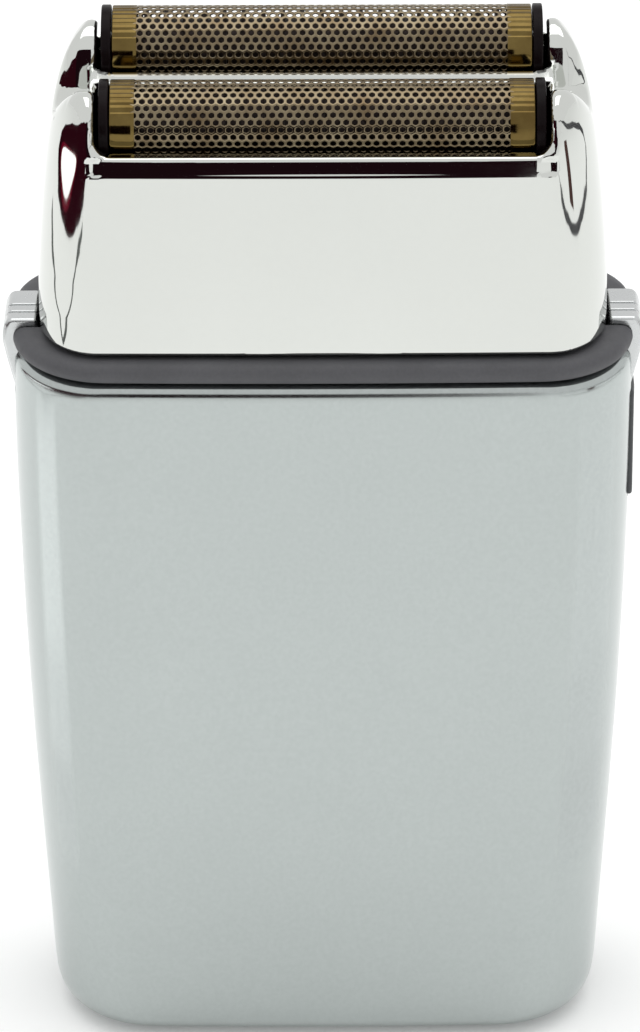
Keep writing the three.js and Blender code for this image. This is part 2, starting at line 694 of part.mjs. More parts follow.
// ---------------------------------------------------------------- screws
// slotted upright screw; seat: z under the head, up: 1 with the head on top, -1 underneath
function screw([x, y], { seat, tip, headRadius, shankRadius, headHeight = 1.2, up = 1 }) {
  const headEnd = seat + up * headHeight;
  const slotZ = ordered(headEnd - up * 0.5, headEnd + up * 0.2);
  return cut(
    add(
      cylinderZ(headRadius, ordered(seat, headEnd), [x, y], 12),
      cylinderZ(shankRadius, ordered(tip, seat + up * 0.3), [x, y], 8),
    ),
    box(span(headRadius, x), span(0.25, y), slotZ),
  );
}
const LARGE_SCREW = { headRadius: 1.8, shankRadius: 0.75 };
const DECK_SCREW = { ...LARGE_SCREW, seat: 78.3, tip: 71.5 };
const BASE_SCREW = { ...LARGE_SCREW, seat: 2.0, tip: 6.8, up: -1 };
const MOTOR_SCREW = { headRadius: 1.5, shankRadius: 0.65, headHeight: 1, seat: 66.1, tip: 62.4 };

function boardScrew(side) {
  const centre = [side * BOARD_SCREW_X, BOARD_SCREW_Z];
  const head = cylinderY(1.35, [-11.5, -10.95], centre, 12);
  return add(head, cylinderY(0.75, [-11.3, -5.5], centre, 8));
}

const screwPieces = (name, shapes) =>
  shapes.forEach((shape, i) => piece(`${name}_screw_${i + 1}`, shape, FINISH.steel));
screwPieces('deck', DECK_SCREWS.map((centre) => screw(centre, DECK_SCREW)));
screwPieces('base', SIDES.map((side) => screw([side * BASE_SCREW_X, 0], BASE_SCREW)));
screwPieces('motor', SIDES.map((side) => screw([side * MOTOR_SCREW_X, 0], MOTOR_SCREW)));
screwPieces('board', SIDES.map(boardScrew));

// ---------------------------------------------------------------- battery leads
// y, z of the wire centre, from the top of the battery to the board
const LEAD_PATH = [
  [0, 33.3], [-0.8, 34.4], [-4.6, 34.6], [-6.7, 33], [-6.9, 31], [-8.0, 29.2], [-9.2, 28.6],
];
function batteryLead(x) {
  const path = new THREE.CatmullRomCurve3(LEAD_PATH.map(([y, z]) => new THREE.Vector3(x, y, z)));
  return sweep(arc(0.45, 0, 300, 5), path, 14);
}
piece('battery_lead_red', batteryLead(12), FINISH.redLead);
piece('battery_lead_black', batteryLead(15), FINISH.blackLead);

export default root;
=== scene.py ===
# Foil shaver, standing upright on z = 0. Its front faces -y, its width runs along x.
# Lengths are written in millimetres and scaled to metres where the meshes are made.
import json
import math
import bpy
import bmesh
import numpy as np
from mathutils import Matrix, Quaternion, Vector


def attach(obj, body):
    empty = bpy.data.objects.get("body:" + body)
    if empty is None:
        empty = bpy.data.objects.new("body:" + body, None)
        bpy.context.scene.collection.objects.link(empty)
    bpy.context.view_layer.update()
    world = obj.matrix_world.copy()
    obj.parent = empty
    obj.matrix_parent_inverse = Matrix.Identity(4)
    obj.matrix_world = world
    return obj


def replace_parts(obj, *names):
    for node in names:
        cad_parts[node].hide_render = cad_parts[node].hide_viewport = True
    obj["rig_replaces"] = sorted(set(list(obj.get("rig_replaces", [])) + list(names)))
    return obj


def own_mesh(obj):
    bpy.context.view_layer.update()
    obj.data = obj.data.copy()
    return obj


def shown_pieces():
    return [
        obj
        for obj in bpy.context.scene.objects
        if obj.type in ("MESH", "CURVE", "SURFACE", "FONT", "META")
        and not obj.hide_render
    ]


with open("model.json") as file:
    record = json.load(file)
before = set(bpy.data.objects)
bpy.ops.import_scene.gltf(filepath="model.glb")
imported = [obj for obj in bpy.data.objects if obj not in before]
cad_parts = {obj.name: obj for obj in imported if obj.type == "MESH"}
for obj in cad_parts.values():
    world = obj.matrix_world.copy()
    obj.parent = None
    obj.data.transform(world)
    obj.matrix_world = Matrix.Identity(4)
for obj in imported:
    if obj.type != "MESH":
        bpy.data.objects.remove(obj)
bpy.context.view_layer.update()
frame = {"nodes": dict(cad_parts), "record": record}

MM = 0.001
scene = bpy.context.scene

# Places shared by the casings, the collar and the head
FRONT_CORNER = (9.5, 11.6)      # plan corner radii along x and y
REAR_CORNER = (7.8, 8.6)        # the rear is squarer than the front
NOTCH_Y = 4.2                   # half the depth of the side notches
POCKET_X = 28.6                 # where the button pockets in collar and head end


# ------------------------------------------------------------------ small maths
def monotone_curve(stations, levels):
    """Monotone cubic through (stations, levels); flat outside them."""
    stations, levels = np.asarray(stations, float), np.asarray(levels, float)
    gaps = np.diff(stations)
    chords = np.diff(levels) / gaps
    slopes = np.zeros_like(levels)
    for i in range(1, len(stations) - 1):
        if chords[i - 1] * chords[i] > 0:
            before, after = 2 * gaps[i] + gaps[i - 1], gaps[i] + 2 * gaps[i - 1]
            slopes[i] = (before + after) / (before / chords[i - 1] + after / chords[i])
    slopes[0], slopes[-1] = chords[0], chords[-1]

    def curve(x):
        x = np.clip(np.asarray(x, float), stations[0], stations[-1])
        i = np.clip(np.searchsorted(stations, x, side="right") - 1, 0, len(stations) - 2)
        t = (x - stations[i]) / gaps[i]
        return (
            (2 * t**3 - 3 * t**2 + 1) * levels[i]
            + (t**3 - 2 * t**2 + t) * gaps[i] * slopes[i]
            + (-2 * t**3 + 3 * t**2) * levels[i + 1]
            + (t**3 - t**2) * gaps[i] * slopes[i + 1]
        )

    return curve


def lerp(start, end, share):
    return start + (end - start) * share


def smooth_step(x, start, end):
    t = np.clip((x - start) / (end - start), 0, 1)
    return t * t * (3 - 2 * t)


# Distance fields are negative inside a shape.
def meet(a, b, radius):
    """Intersection of two fields with a rounded edge."""
    outer = np.sqrt(np.maximum(radius + a, 0) ** 2 + np.maximum(radius + b, 0) ** 2)
    return np.minimum(-radius, np.maximum(a, b)) + outer


def unite(a, b, radius):
    """Union of two fields with a hollow fillet."""
    inner = np.sqrt(np.maximum(radius - a, 0) ** 2 + np.maximum(radius - b, 0) ** 2)
    return np.maximum(radius, np.minimum(a, b)) - inner


def carve(body, tool, radius):
    """Body with the tool taken out and the new edge rounded."""
    return meet(body, -tool, radius)


def slab(value, low, high):
    return np.maximum(low - value, value - high)


def box(x, y, z, x_span, half_y, z_span, radius):
    """Rounded box, centred on y = 0."""
    plan = meet(slab(x, *x_span), np.abs(y) - half_y, radius)
    return meet(plan, slab(z, *z_span), radius)


# ------------------------------------------------------------------ mesh making
def make_mesh(name, points, faces, normals=None):
    """Smooth-shaded object from points in millimetres."""
    mesh = bpy.data.meshes.new(name)
    mesh.from_pydata((np.asarray(points, float) * MM).tolist(), [], faces)
    mesh.update()
    mesh.polygons.foreach_set("use_smooth", np.ones(len(mesh.polygons), bool))
    if normals is not None:
        mesh.normals_split_custom_set_from_vertices(np.asarray(normals, float).tolist())
    ob = bpy.data.objects.new(name, mesh)
    scene.collection.objects.link(ob)
    return ob


def outward(ob, merge=False):
    """Turns the faces of a closed mesh outwards, merging coincident vertices first if asked."""
    bm = bmesh.new()
    bm.from_mesh(ob.data)
    if merge:
        bmesh.ops.remove_doubles(bm, verts=bm.verts, dist=1e-6)
    bmesh.ops.recalc_face_normals(bm, faces=bm.faces)
    bm.to_mesh(ob.data)
    bm.free()
    ob.data.update()


def tube_faces(rings, around, first=0, first_end_reversed=True):
    """Quads round a tube whose vertices start at index first, and a face on each end."""
    faces = []
    for ring in range(rings - 1):
        start = first + ring * around
        for k in range(around):
            p, q = start + k, start + (k + 1) % around
            faces.append((p, q, q + around, p + around))
    near = tuple(range(first, first + around))
    far = tuple(range(first + (rings - 1) * around, first + rings * around))
    return faces + ([near[::-1], far] if first_end_reversed else [near, far[::-1]])


def surface_nets(field, low, high, cell):
    """Quad mesh of field = 0: vertices drawn onto the surface, normals from the gradient."""
    low, high = np.array(low, float), np.array(high, float)
    counts = np.ceil((high - low) / cell).astype(int) + 1
    axes = [low[i] + cell * np.arange(counts[i]) for i in range(3)]
    values = field(*np.meshgrid(*axes, indexing="ij"))
    inside = values < 0
    corners = [(i, j, k) for i in (0, 1) for j in (0, 1) for k in (0, 1)]

    def at_corner(grid, corner):
        """The grid's values at one corner of every cell."""
        return grid[tuple(slice(o, size - 1 + o) for o, size in zip(corner, grid.shape))]

    inside_count = sum(at_corner(inside, c).astype(np.int8) for c in corners)
    crossed = (inside_count > 0) & (inside_count < 8)
    vertex_of = -np.ones(crossed.shape, np.int64)
    vertex_of[crossed] = np.arange(crossed.sum())
    cells = np.argwhere(crossed).astype(float)

    # each vertex starts at the mean of the crossings on its cell's edges
    total = np.zeros((len(cells), 3))
    hits = np.zeros(len(cells))
    for start in corners:
        for axis in range(3):
            if start[axis]:
                continue
            end = list(start)
            end[axis] = 1
            value_a = at_corner(values, start)[crossed]
            value_b = at_corner(values, end)[crossed]
            hit = (value_a < 0) != (value_b < 0)
            share = np.where(hit, value_a / np.where(hit, value_a - value_b, 1), 0)
            crossing = np.tile(np.array(start, float), (len(cells), 1))
            crossing[:, axis] += share
            total += crossing * hit[:, None]
            hits += hit
    points = low + cell * (cells + total / hits[:, None])
    nudge = 0.02 * cell

    def gradient(points):
        """Gradient and its squared length."""
        slopes = []
        for shift in nudge * np.eye(3):
            slopes.append(field(*(points + shift).T) - field(*(points - shift).T))
        slope = np.stack(slopes, 1) / (2 * nudge)
        return slope, np.maximum((slope * slope).sum(1), 1e-3)

    def draw_on(points, times):
        """Newton steps onto the surface, none longer than half a cell."""
        for _ in range(times):
            slope, square = gradient(points)
            move = -(field(*points.T) / square)[:, None] * slope
            length = np.sqrt((move * move).sum(1))
            move *= np.minimum(1, 0.5 * cell / np.maximum(length, 1e-9))[:, None]
            points = points + move
        return points

    points = draw_on(points, 2)

    # one quad round every grid edge that crosses the surface
    quads = []
    for axis in range(3):
        side_a, side_b = [a for a in range(3) if a != axis]
        near = [slice(1, -1)] * 3
        near[axis] = slice(0, -1)
        far = list(near)
        far[axis] = slice(1, None)
        inside_near, inside_far = inside[tuple(near)], inside[tuple(far)]
        edges = np.argwhere(inside_near != inside_far)
        leaving = inside_near[tuple(edges.T)]
        edges[:, side_a] += 1
        edges[:, side_b] += 1

        def vertex(step_a, step_b):
            place_ = edges.copy()
            place_[:, side_a] += step_a
            place_[:, side_b] += step_b
            return vertex_of[tuple(place_.T)]

        quad = np.stack([vertex(-1, -1), vertex(0, -1), vertex(0, 0), vertex(-1, 0)], 1)
        keep = leaving if axis != 1 else ~leaving
        quad[~keep] = quad[~keep][:, ::-1]
        quads.append(quad)
    quads = np.concatenate(quads)
    quads = quads[(quads >= 0).all(1)]

    # slide the vertices along the surface to even out the quads, then draw them back onto it
    count = len(points)
    edges = np.concatenate([quads[:, [i, (i + 1) % 4]] for i in range(4)])
    starts, ends = edges.T
    degree = np.bincount(starts, minlength=count) + np.bincount(ends, minlength=count)
    degree = np.maximum(degree, 1)
    for _ in range(3):
        mean = np.stack([np.bincount(starts, points[ends, k], count)
                         + np.bincount(ends, points[starts, k], count)
                         for k in range(3)], 1) / degree[:, None]
        slope, square = gradient(points)
        normal = slope / np.sqrt(square)[:, None]
        move = mean - points
        move -= (move * normal).sum(1)[:, None] * normal
        points = draw_on(points + 0.6 * move, 1)
    points = draw_on(points, 2)
    slope, square = gradient(points)
    return points, quads, slope / np.sqrt(square)[:, None]


def field_piece(name, field, low, high, cell):
    points, quads, normals = surface_nets(field, low, high, cell)
    return make_mesh(name, points, quads.tolist(), normals)


def bevel(ob, width, segments, angle, weld=False, harden=True):
    """Rounds edges sharper than angle (degrees) by width (mm)."""
    if weld:
        ob.modifiers.new("weld", "WELD").merge_threshold = 2e-6
    modifier = ob.modifiers.new("bevel", "BEVEL")
    modifier.width = width * MM
    modifier.segments = segments
    modifier.limit_method = "ANGLE"
    modifier.angle_limit = math.radians(angle)
    modifier.harden_normals = harden
    modifier.use_clamp_overlap = True
    modifier.miter_outer = "MITER_ARC"


def join(name, obs):
    selection = {"active_object": obs[0], "selected_objects": obs,
                 "selected_editable_objects": obs}
    with bpy.context.temp_override(**selection):
        bpy.ops.object.join()
    obs[0].name = name
    obs[0].data.name = name
    return obs[0]


# ------------------------------------------------------------------ materials
def srgb(*channels):
    """Linear colour from 0-255 sRGB channels."""
    def linear(value):
        value /= 255.0
        return value / 12.92 if value <= 0.04045 else ((value + 0.055) / 1.055) ** 2.4
    return tuple(linear(channel) for channel in channels)


def shade(color, factor, lift=0.0):
    return tuple(min(1, channel * factor + lift) for channel in color)


def material(name, base, rough, drift, drift_scale, grain, metallic=0.0, light=None,
             rough_drift=0.06, grain_scale=2500.0, stretch=(1, 1, 1), bump=0.0, bump_scale=None,
             wear=0.0, wear_color=None, wear_rough=0.15, wear_radius=0.35, coat=0.0,
             coat_rough=0.1, speck=0.0, specular=0.5):
    """Layered finish.

    drift: slow change of colour, between a darker base and light (a lighter base if None);
    grain: fine pattern in colour and roughness, stretched per axis; bump: relief in mm, on the
    grain or at bump_scale; wear: rubbed edges as wide as wear_radius (mm); speck: dark dust.
    """
    finish = bpy.data.materials.new(name)
    finish.use_nodes = True
    tree = finish.node_tree
    tree.nodes.clear()
    new, link = tree.nodes.new, tree.links.new
    output = new("ShaderNodeOutputMaterial")
    shader = new("ShaderNodeBsdfPrincipled")
    link(shader.outputs[0], output.inputs[0])
    coords = new("ShaderNodeTexCoord").outputs["Object"]
    mapping = new("ShaderNodeMapping")
    mapping.inputs["Scale"].default_value = stretch
    link(coords, mapping.inputs[0])
    stretched = mapping.outputs[0]

    def feed(socket, value):
        """Sets a socket to a number or a colour, or links it to another socket."""
        if isinstance(value, (int, float)):
            socket.default_value = value
        elif isinstance(value, tuple):
            socket.default_value = (*value, 1)
        else:
            link(value, socket)

    def noise(scale, detail, roughness=0.55, vector=coords):
        node = new("ShaderNodeTexNoise")
        node.inputs["Scale"].default_value = scale
        node.inputs["Detail"].default_value = detail
        node.inputs["Roughness"].default_value = roughness
        link(vector, node.inputs["Vector"])
        return node.outputs["Fac"]

    def ranged(value, to_min, to_max, from_min=0.3, from_max=0.7):
        node = new("ShaderNodeMapRange")
        node.inputs["From Min"].default_value = from_min
        node.inputs["From Max"].default_value = from_max
        node.inputs["To Min"].default_value = to_min
        node.inputs["To Max"].default_value = to_max
        link(value, node.inputs["Value"])
        return node.outputs["Result"]

    def maths(operation, a, b):
        node = new("ShaderNodeMath")
        node.operation = operation
        feed(node.inputs[0], a)
        feed(node.inputs[1], b)
        return node.outputs[0]

    def mix(factor, a, b):
        node = new("ShaderNodeMix")
        node.data_type = "RGBA"
        feed(node.inputs[0], factor)
        feed(node.inputs[6], a)
        feed(node.inputs[7], b)
        return node.outputs[2]

    slow = noise(drift_scale, detail=3.0)
    fine = noise(grain_scale, detail=2.0, roughness=0.6, vector=stretched)
    color = mix(ranged(slow, 0, 1), shade(base, 1 - drift), light or shade(base, 1 + drift))
    color = mix(ranged(fine, 0, grain, 0.35, 0.65), color, shade(base, 1.25, 0.01))
    dark_grain = noise(grain_scale * 0.7, detail=1.0, roughness=0.5, vector=stretched)
    color = mix(ranged(dark_grain, grain, 0, 0.35, 0.65), color, shade(base, 0.72))
    if speck > 0:
        dust = ranged(noise(grain_scale * 0.35, detail=1.0), 0, speck, 0.68, 0.74)
        color = mix(dust, color, shade(base, 0.5))
    uneven = noise(drift_scale * 3.3, detail=4.0)
    roughness = maths("ADD", ranged(uneven, rough - rough_drift, rough + rough_drift),
                      ranged(fine, -rough_drift * 0.4, rough_drift * 0.4))
    if wear > 0:
        # edges are where the rounded normal leaves the true one
        rounded = new("ShaderNodeBevel")
        rounded.samples = 4
        rounded.inputs["Radius"].default_value = wear_radius * MM
        geometry = new("ShaderNodeNewGeometry")
        dot = new("ShaderNodeVectorMath")
        dot.operation = "DOT_PRODUCT"
        link(rounded.outputs[0], dot.inputs[0])
        link(geometry.outputs["Normal"], dot.inputs[1])
        edge = ranged(maths("SUBTRACT", 1.0, dot.outputs["Value"]), 0, 1, 0.01, 0.12)
        rubbed = maths("MULTIPLY", edge, ranged(noise(420.0, detail=4.0), 0.15, wear))
        color = mix(rubbed, color, wear_color or shade(base, 1.35, 0.04))
        roughness = maths("ADD", roughness, maths("MULTIPLY", rubbed, wear_rough))
    link(color, shader.inputs["Base Color"])
    link(roughness, shader.inputs["Roughness"])
    shader.inputs["Metallic"].default_value = metallic
    shader.inputs["IOR"].default_value = 1.5
    shader.inputs["Specular IOR Level"].default_value = specular
    if coat > 0:
        shader.inputs["Coat Weight"].default_value = coat
        shader.inputs["Coat Roughness"].default_value = coat_rough
    if bump > 0:
        relief = new("ShaderNodeBump")
        relief.inputs["Strength"].default_value = 1.0
        relief.inputs["Distance"].default_value = bump * MM
        if bump_scale is None:
            height = fine
        else:
            height = noise(bump_scale, detail=3.0, roughness=0.6, vector=stretched)
        link(height, relief.inputs["Height"])
        link(relief.outputs[0], shader.inputs["Normal"])
    return finish


# Arguments of material(), by material name
FINISHES = {
    "satin_chrome": dict(
        base=(0.46, 0.497, 0.488), metallic=1.0, rough=0.17, rough_drift=0.02,
        drift=0.012, drift_scale=45, grain=0.10, grain_scale=2600, bump=0.0012,
        wear=0.35, wear_color=(0.80, 0.82, 0.81), wear_rough=-0.05, speck=0.05),
    "bright_chrome": dict(
        base=(0.665, 0.68, 0.65), metallic=1.0, rough=0.035, rough_drift=0.012,
        drift=0.012, drift_scale=60, grain=0.02, grain_scale=1800, bump=0.00012, bump_scale=500,
        wear=0.3, wear_color=(0.86, 0.86, 0.84), wear_rough=0.05),
    "silver_button": dict(
        base=(0.60, 0.615, 0.615), metallic=0.95, rough=0.24,
        drift=0.02, drift_scale=200, grain=0.02, grain_scale=3200,
        wear=0.35, wear_color=(0.78, 0.79, 0.79)),
    "switch_grey": dict(
        base=srgb(70, 72, 74), rough=0.45, specular=0.3,
        drift=0.08, drift_scale=200, grain=0.15, grain_scale=3200, bump=0.004,
        wear=0.5, wear_color=srgb(120, 122, 122)),
    "grey_rubber": dict(
        base=srgb(80, 80, 83), rough=0.55, rough_drift=0.08, specular=0.3,
        drift=0.10, drift_scale=160, grain=0.18, grain_scale=3800, bump=0.006,
        wear=0.5, wear_color=srgb(118, 118, 121)),
    "black_plastic": dict(
        base=(0.0045, 0.0022, 0.0026), rough=0.30, rough_drift=0.07, specular=0.07,
        drift=0.2, drift_scale=180, grain=0.10, grain_scale=3000, bump=0.003,
        wear=0.5, wear_color=(0.016, 0.011, 0.012)),
    "dark_plastic": dict(
        base=(0.035, 0.035, 0.038), rough=0.48, rough_drift=0.08,
        drift=0.15, drift_scale=140, grain=0.2, grain_scale=2600, bump=0.008,
        wear=0.5, wear_color=(0.10, 0.10, 0.105)),
    "white_plastic": dict(
        base=(0.72, 0.71, 0.67), rough=0.42, rough_drift=0.06,
        drift=0.04, drift_scale=140, grain=0.08, grain_scale=2400, bump=0.004,
        wear=0.3, wear_color=(0.6, 0.58, 0.53)),
    "gold_foil": dict(
        base=(0.128, 0.085, 0.027), light=(0.175, 0.125, 0.042), metallic=1.0,
        rough=0.11, rough_drift=0.03,
        drift=0.12, drift_scale=260, grain=0.10, grain_scale=3600, bump=0.0015,
        wear=0.55, wear_color=(0.46, 0.34, 0.16), wear_radius=0.08),
    "foil_mesh": dict(
        base=(0.165, 0.12, 0.07), light=(0.25, 0.21, 0.14), metallic=1.0,
        rough=0.15, rough_drift=0.05,
        drift=0.12, drift_scale=300, grain=0.15, grain_scale=4200, bump=0.016, bump_scale=1500),
    # near-black base is painted shade: the steel cutters under the foils are darkened so the foil
    # holes look dark
    "cutter_steel": dict(
        base=(0.035, 0.026, 0.024), metallic=0.9, rough=0.46, rough_drift=0.08,
        drift=0.06, drift_scale=300, grain=0.2, grain_scale=2600, stretch=(0.15, 1, 1),
        bump=0.003, wear=0.5, wear_color=(0.10, 0.09, 0.085), wear_radius=0.1),
    "motor_steel": dict(
        base=(0.50, 0.51, 0.53), metallic=1.0, rough=0.30, rough_drift=0.08,
        drift=0.06, drift_scale=120, grain=0.15, grain_scale=1800, stretch=(1, 1, 0.1),
        bump=0.003, wear=0.5),
    "brass_part": dict(
        base=(0.66, 0.47, 0.20), metallic=1.0, rough=0.28, rough_drift=0.08,
        drift=0.08, drift_scale=300, grain=0.15, grain_scale=2600, stretch=(1, 1, 4),
        bump=0.003, wear=0.5),
    "screw_steel": dict(
        base=(0.42, 0.43, 0.45), metallic=1.0, rough=0.30, rough_drift=0.08,
        drift=0.08, drift_scale=500, grain=0.15, grain_scale=3600, bump=0.003,
        wear=0.7, wear_color=(0.72, 0.72, 0.74), wear_radius=0.15),
    "spring_steel": dict(
        base=(0.52, 0.53, 0.55), metallic=1.0, rough=0.24, rough_drift=0.06,
        drift=0.06, drift_scale=500, grain=0.1, grain_scale=4200, bump=0.001),
    "board_green": dict(
        base=(0.02, 0.13, 0.06), rough=0.34, rough_drift=0.08, coat=0.3, coat_rough=0.2,
        drift=0.18, drift_scale=160, grain=0.15, grain_scale=1500, bump=0.004,
        wear=0.6, wear_color=(0.35, 0.31, 0.16)),
    "battery_wrap": dict(
        base=(0.03, 0.13, 0.30), rough=0.30, rough_drift=0.06, coat=0.35, coat_rough=0.12,
        drift=0.08, drift_scale=90, grain=0.06, grain_scale=1600, bump=0.006, bump_scale=260,
        wear=0.4, wear_color=(0.10, 0.24, 0.42)),
    "lens": dict(
        base=(0.78, 0.82, 0.84), rough=0.14, rough_drift=0.04, coat=0.5, coat_rough=0.05,
        drift=0.05, drift_scale=400, grain=0.03, bump=0.001,
        wear=0.3, wear_color=(0.6, 0.62, 0.64)),
    "lead_red": dict(
        base=(0.40, 0.03, 0.02), rough=0.45,
        drift=0.1, drift_scale=300, grain=0.1, grain_scale=2600, bump=0.003, wear=0.2),
    "lead_black": dict(
        base=(0.014, 0.014, 0.015), rough=0.45,
        drift=0.15, drift_scale=300, grain=0.1, grain_scale=2600, bump=0.003, wear=0.2),
}
MATERIALS = {name: material(name, **finish) for name, finish in FINISHES.items()}


def place(ob, body, slot, node, finish=None):
    """Gives a finished piece its finish, the CAD body it rides on and the CAD node it replaces."""
    ob.data.materials.clear()
    ob.data.materials.append(MATERIALS[finish or slot])
    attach(ob, body)
    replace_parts(ob, node)


# ------------------------------------------------------------------ casings
# z, half width, half depth of the outer face
OUTER_STATIONS = np.array([
    [0.60, 25.9, 10.1], [0.68, 26.75, 10.95], [0.95, 27.65, 11.85], [1.6, 28.45, 12.65],
    [2.6, 28.97, 13.12], [4.2, 29.27, 13.42], [12, 29.76, 13.62], [24, 30.5, 13.87],
    [38, 31.25, 14.07], [52, 31.75, 14.22], [66, 32.05, 14.32], [75.4, 32.1, 14.32],
    [76.2, 32.03, 14.26], [76.75, 31.83, 14.07], [77.08, 31.52, 13.77], [77.2, 31.2, 13.45]])
# the same for the inner face
INNER_STATIONS = np.array([
    [2.7, 27.4, 11.6], [4.4, 27.75, 11.9], [24, 29.0, 12.35], [52, 30.25, 12.7],
    [77.2, 30.6, 12.8]])
CASING_BOTTOM, CASING_FLOOR, CASING_TOP = 0.6, 2.7, 77.2
INNER_CORNER = (8.0, 10.1)
CROWN = 0.6                     # how far the wide faces fall back at the sides
LEFT_NOTCH_Z = 72.4             # foot of the notch for the left button
RIGHT_NOTCH_Z = 60.2            # foot of the notch for the switch and the right button
SIDE_Y = [0.15, 1.0, 1.8, 2.6, 3.4]     # outline points on the side, from the seam to the notch
CORNER_STEPS, FACE_STEPS = 30, 34


def half_outline(half_width, half_depth, corner_x, corner_y, crown):
    """Front half of a plan outline, left to right from seam to seam.

    Each side has fixed steps in y, then come the corner and the crowned face.
    """
    face_x = half_width - corner_x
    corner_y = min(corner_y, half_depth - crown - 0.6)
    corner_start = half_depth - corner_y

    def corner_point(angle):
        x = face_x + corner_x * math.cos(angle)
        y = corner_start + corner_y * math.sin(angle) - crown * (x / half_width) ** 2
        return x, y

    def angle_at(y):
        """Corner angle at which the outline passes y, by bisection."""
        low, high = 0.0, math.pi / 2
        for _ in range(50):
            middle = (low + high) / 2
            if corner_point(middle)[1] > y:
                high = middle
            else:
                low = middle
        return high

    first_y = corner_point(0.0)[1]
    side = []
    for y in SIDE_Y:
        side.append((half_width if first_y >= y else corner_point(angle_at(y))[0], y))
    start = angle_at(NOTCH_Y)
    corner = [corner_point(lerp(start, math.pi / 2, i / CORNER_STEPS))
              for i in range(CORNER_STEPS + 1)]
    if first_y > NOTCH_Y:
        corner[0] = (half_width, NOTCH_Y)
    face = []
    for i in range(1, FACE_STEPS):
        x = face_x * (1 - 2 * i / FACE_STEPS)
        face.append((x, half_depth - crown * (x / half_width) ** 2))
    quarter = side + corner
    return -np.array(quarter + face + [(-x, y) for x, y in quarter[::-1]])


def casing_levels():
    """Heights of the rings on the outer and on the inner face."""
    outer = np.unique(np.round(np.concatenate([
        CASING_BOTTOM + 1.4 * (np.linspace(0, 1, 13) ** 2),
        np.linspace(2.0, 6, 9),
        np.linspace(6, RIGHT_NOTCH_Z, 28),
        np.linspace(RIGHT_NOTCH_Z, LEFT_NOTCH_Z, 7),
        np.linspace(LEFT_NOTCH_Z, 75.4, 4),
        np.linspace(75.4, 76.6, 8),
        CASING_TOP - 0.6 * (np.linspace(1, 0, 9) ** 2)]), 5))
    inner = np.unique(np.round(np.concatenate([
        np.linspace(CASING_FLOOR, 4.4, 4),
        np.linspace(4.4, RIGHT_NOTCH_Z, 12),
        outer[outer >= RIGHT_NOTCH_Z]]), 5))
    return outer, inner


def casing(name, corner, rear):
    """Half casing: outer face, rim, inner face and a floor with a hole, open at the seam."""
    outer_width, outer_depth, inner_width, inner_depth = (
        monotone_curve(table[:, 0], table[:, k])
        for table in (OUTER_STATIONS, INNER_STATIONS) for k in (1, 2))
    outer_z, inner_z = casing_levels()

    rings = []      # height and outline
    for z in outer_z:
        outline = half_outline(float(outer_width(z)), float(outer_depth(z)), *corner, CROWN)
        rings.append((z, outline))
    rim = len(rings)
    rings.append((CASING_TOP, half_outline(30.95, 13.15, corner[0] - 0.4, corner[1] - 0.6, CROWN)))
    first_inner = len(rings)
    for z in inner_z[::-1]:
        outline = half_outline(float(inner_width(z)), float(inner_depth(z)), *INNER_CORNER, CROWN)
        rings.append((z, outline))
    hole = half_outline(half_width=21.8, half_depth=8.5, corner_x=5, corner_y=5, crown=0.2)
    floor_edge = half_outline(*INNER_STATIONS[0, 1:], *INNER_CORNER, CROWN)
    bottom_edge = half_outline(*OUTER_STATIONS[0, 1:], *corner, CROWN)
    for z, edge, share in ((CASING_FLOOR, floor_edge, 0.5), (CASING_FLOOR, floor_edge, 1.0),
                           (CASING_BOTTOM, bottom_edge, 1.0), (CASING_BOTTOM, bottom_edge, 0.5)):
        rings.append((z, lerp(edge, hole, share)))

    columns = len(hole)
    points = np.concatenate([np.column_stack([outline, np.full(columns, z)])
                             for z, outline in rings])
    if rear:
        # mirrored over the seam plane, so the switch notch stays on the right
        points[:, 1] *= -1

    def vertex(ring, column):
        return (ring % len(rings)) * columns + column

    def notch_rings(z):
        """Outer and inner ring at the foot of a notch."""
        outer, inner = (int(np.where(np.abs(levels - z) < 1e-6)[0][0])
                        for levels in (outer_z, inner_z))
        return outer, first_inner + len(inner_z) - 1 - inner

    side = len(SIDE_Y)
    last = columns - 1
    left, right = notch_rings(LEFT_NOTCH_Z), notch_rings(RIGHT_NOTCH_Z)

    def in_notch(ring, column):
        if column < side:
            return left[0] <= ring < left[1]
        return column >= last - side and right[0] <= ring < right[1]

    faces = []
    for r in range(len(rings)):
        for i in range(last):
            if not in_notch(r, i):
                faces.append((vertex(r, i), vertex(r + 1, i),
                              vertex(r + 1, i + 1), vertex(r, i + 1)))
    for (outer, inner), first, end, edge in ((left, 0, side, side),
                                             (right, last - side, last, last - side)):
        for i in range(first, end):     # floor of the notch
            faces.append((vertex(outer, i), vertex(inner, i),
                          vertex(inner, i + 1), vertex(outer, i + 1)))
        # wall of the notch, between the outer and the inner column, closed at the rim
        up_outer = list(range(outer, rim))
        up_inner = list(range(inner, first_inner - 1, -1))
        for j in range(len(up_outer) - 1):
            faces.append((vertex(up_outer[j], edge), vertex(up_outer[j + 1], edge),
                          vertex(up_inner[j + 1], edge), vertex(up_inner[j], edge)))
        faces.append((vertex(up_outer[-1], edge), vertex(rim, edge), vertex(up_inner[-1], edge)))
    for i, (outer, inner) in ((0, left), (last, right)):    # cut faces at the seam
        cut = [*range(outer + 1), *range(inner, len(rings))]
        faces.append(tuple(vertex(r, i) for r in cut))
    ob = make_mesh(name, points, faces)
    outward(ob)
    bevel(ob, width=0.12, segments=2, angle=38)
    return ob


place(casing("front_shell", FRONT_CORNER, rear=False), "body", "satin_chrome", "front_casing")
place(casing("rear_shell", REAR_CORNER, rear=True), "body", "satin_chrome", "rear_casing")


# ------------------------------------------------------------------ collar
COLLAR_WIDTH, COLLAR_DEPTH = 32.15, 14.55       # half sizes at the widest line
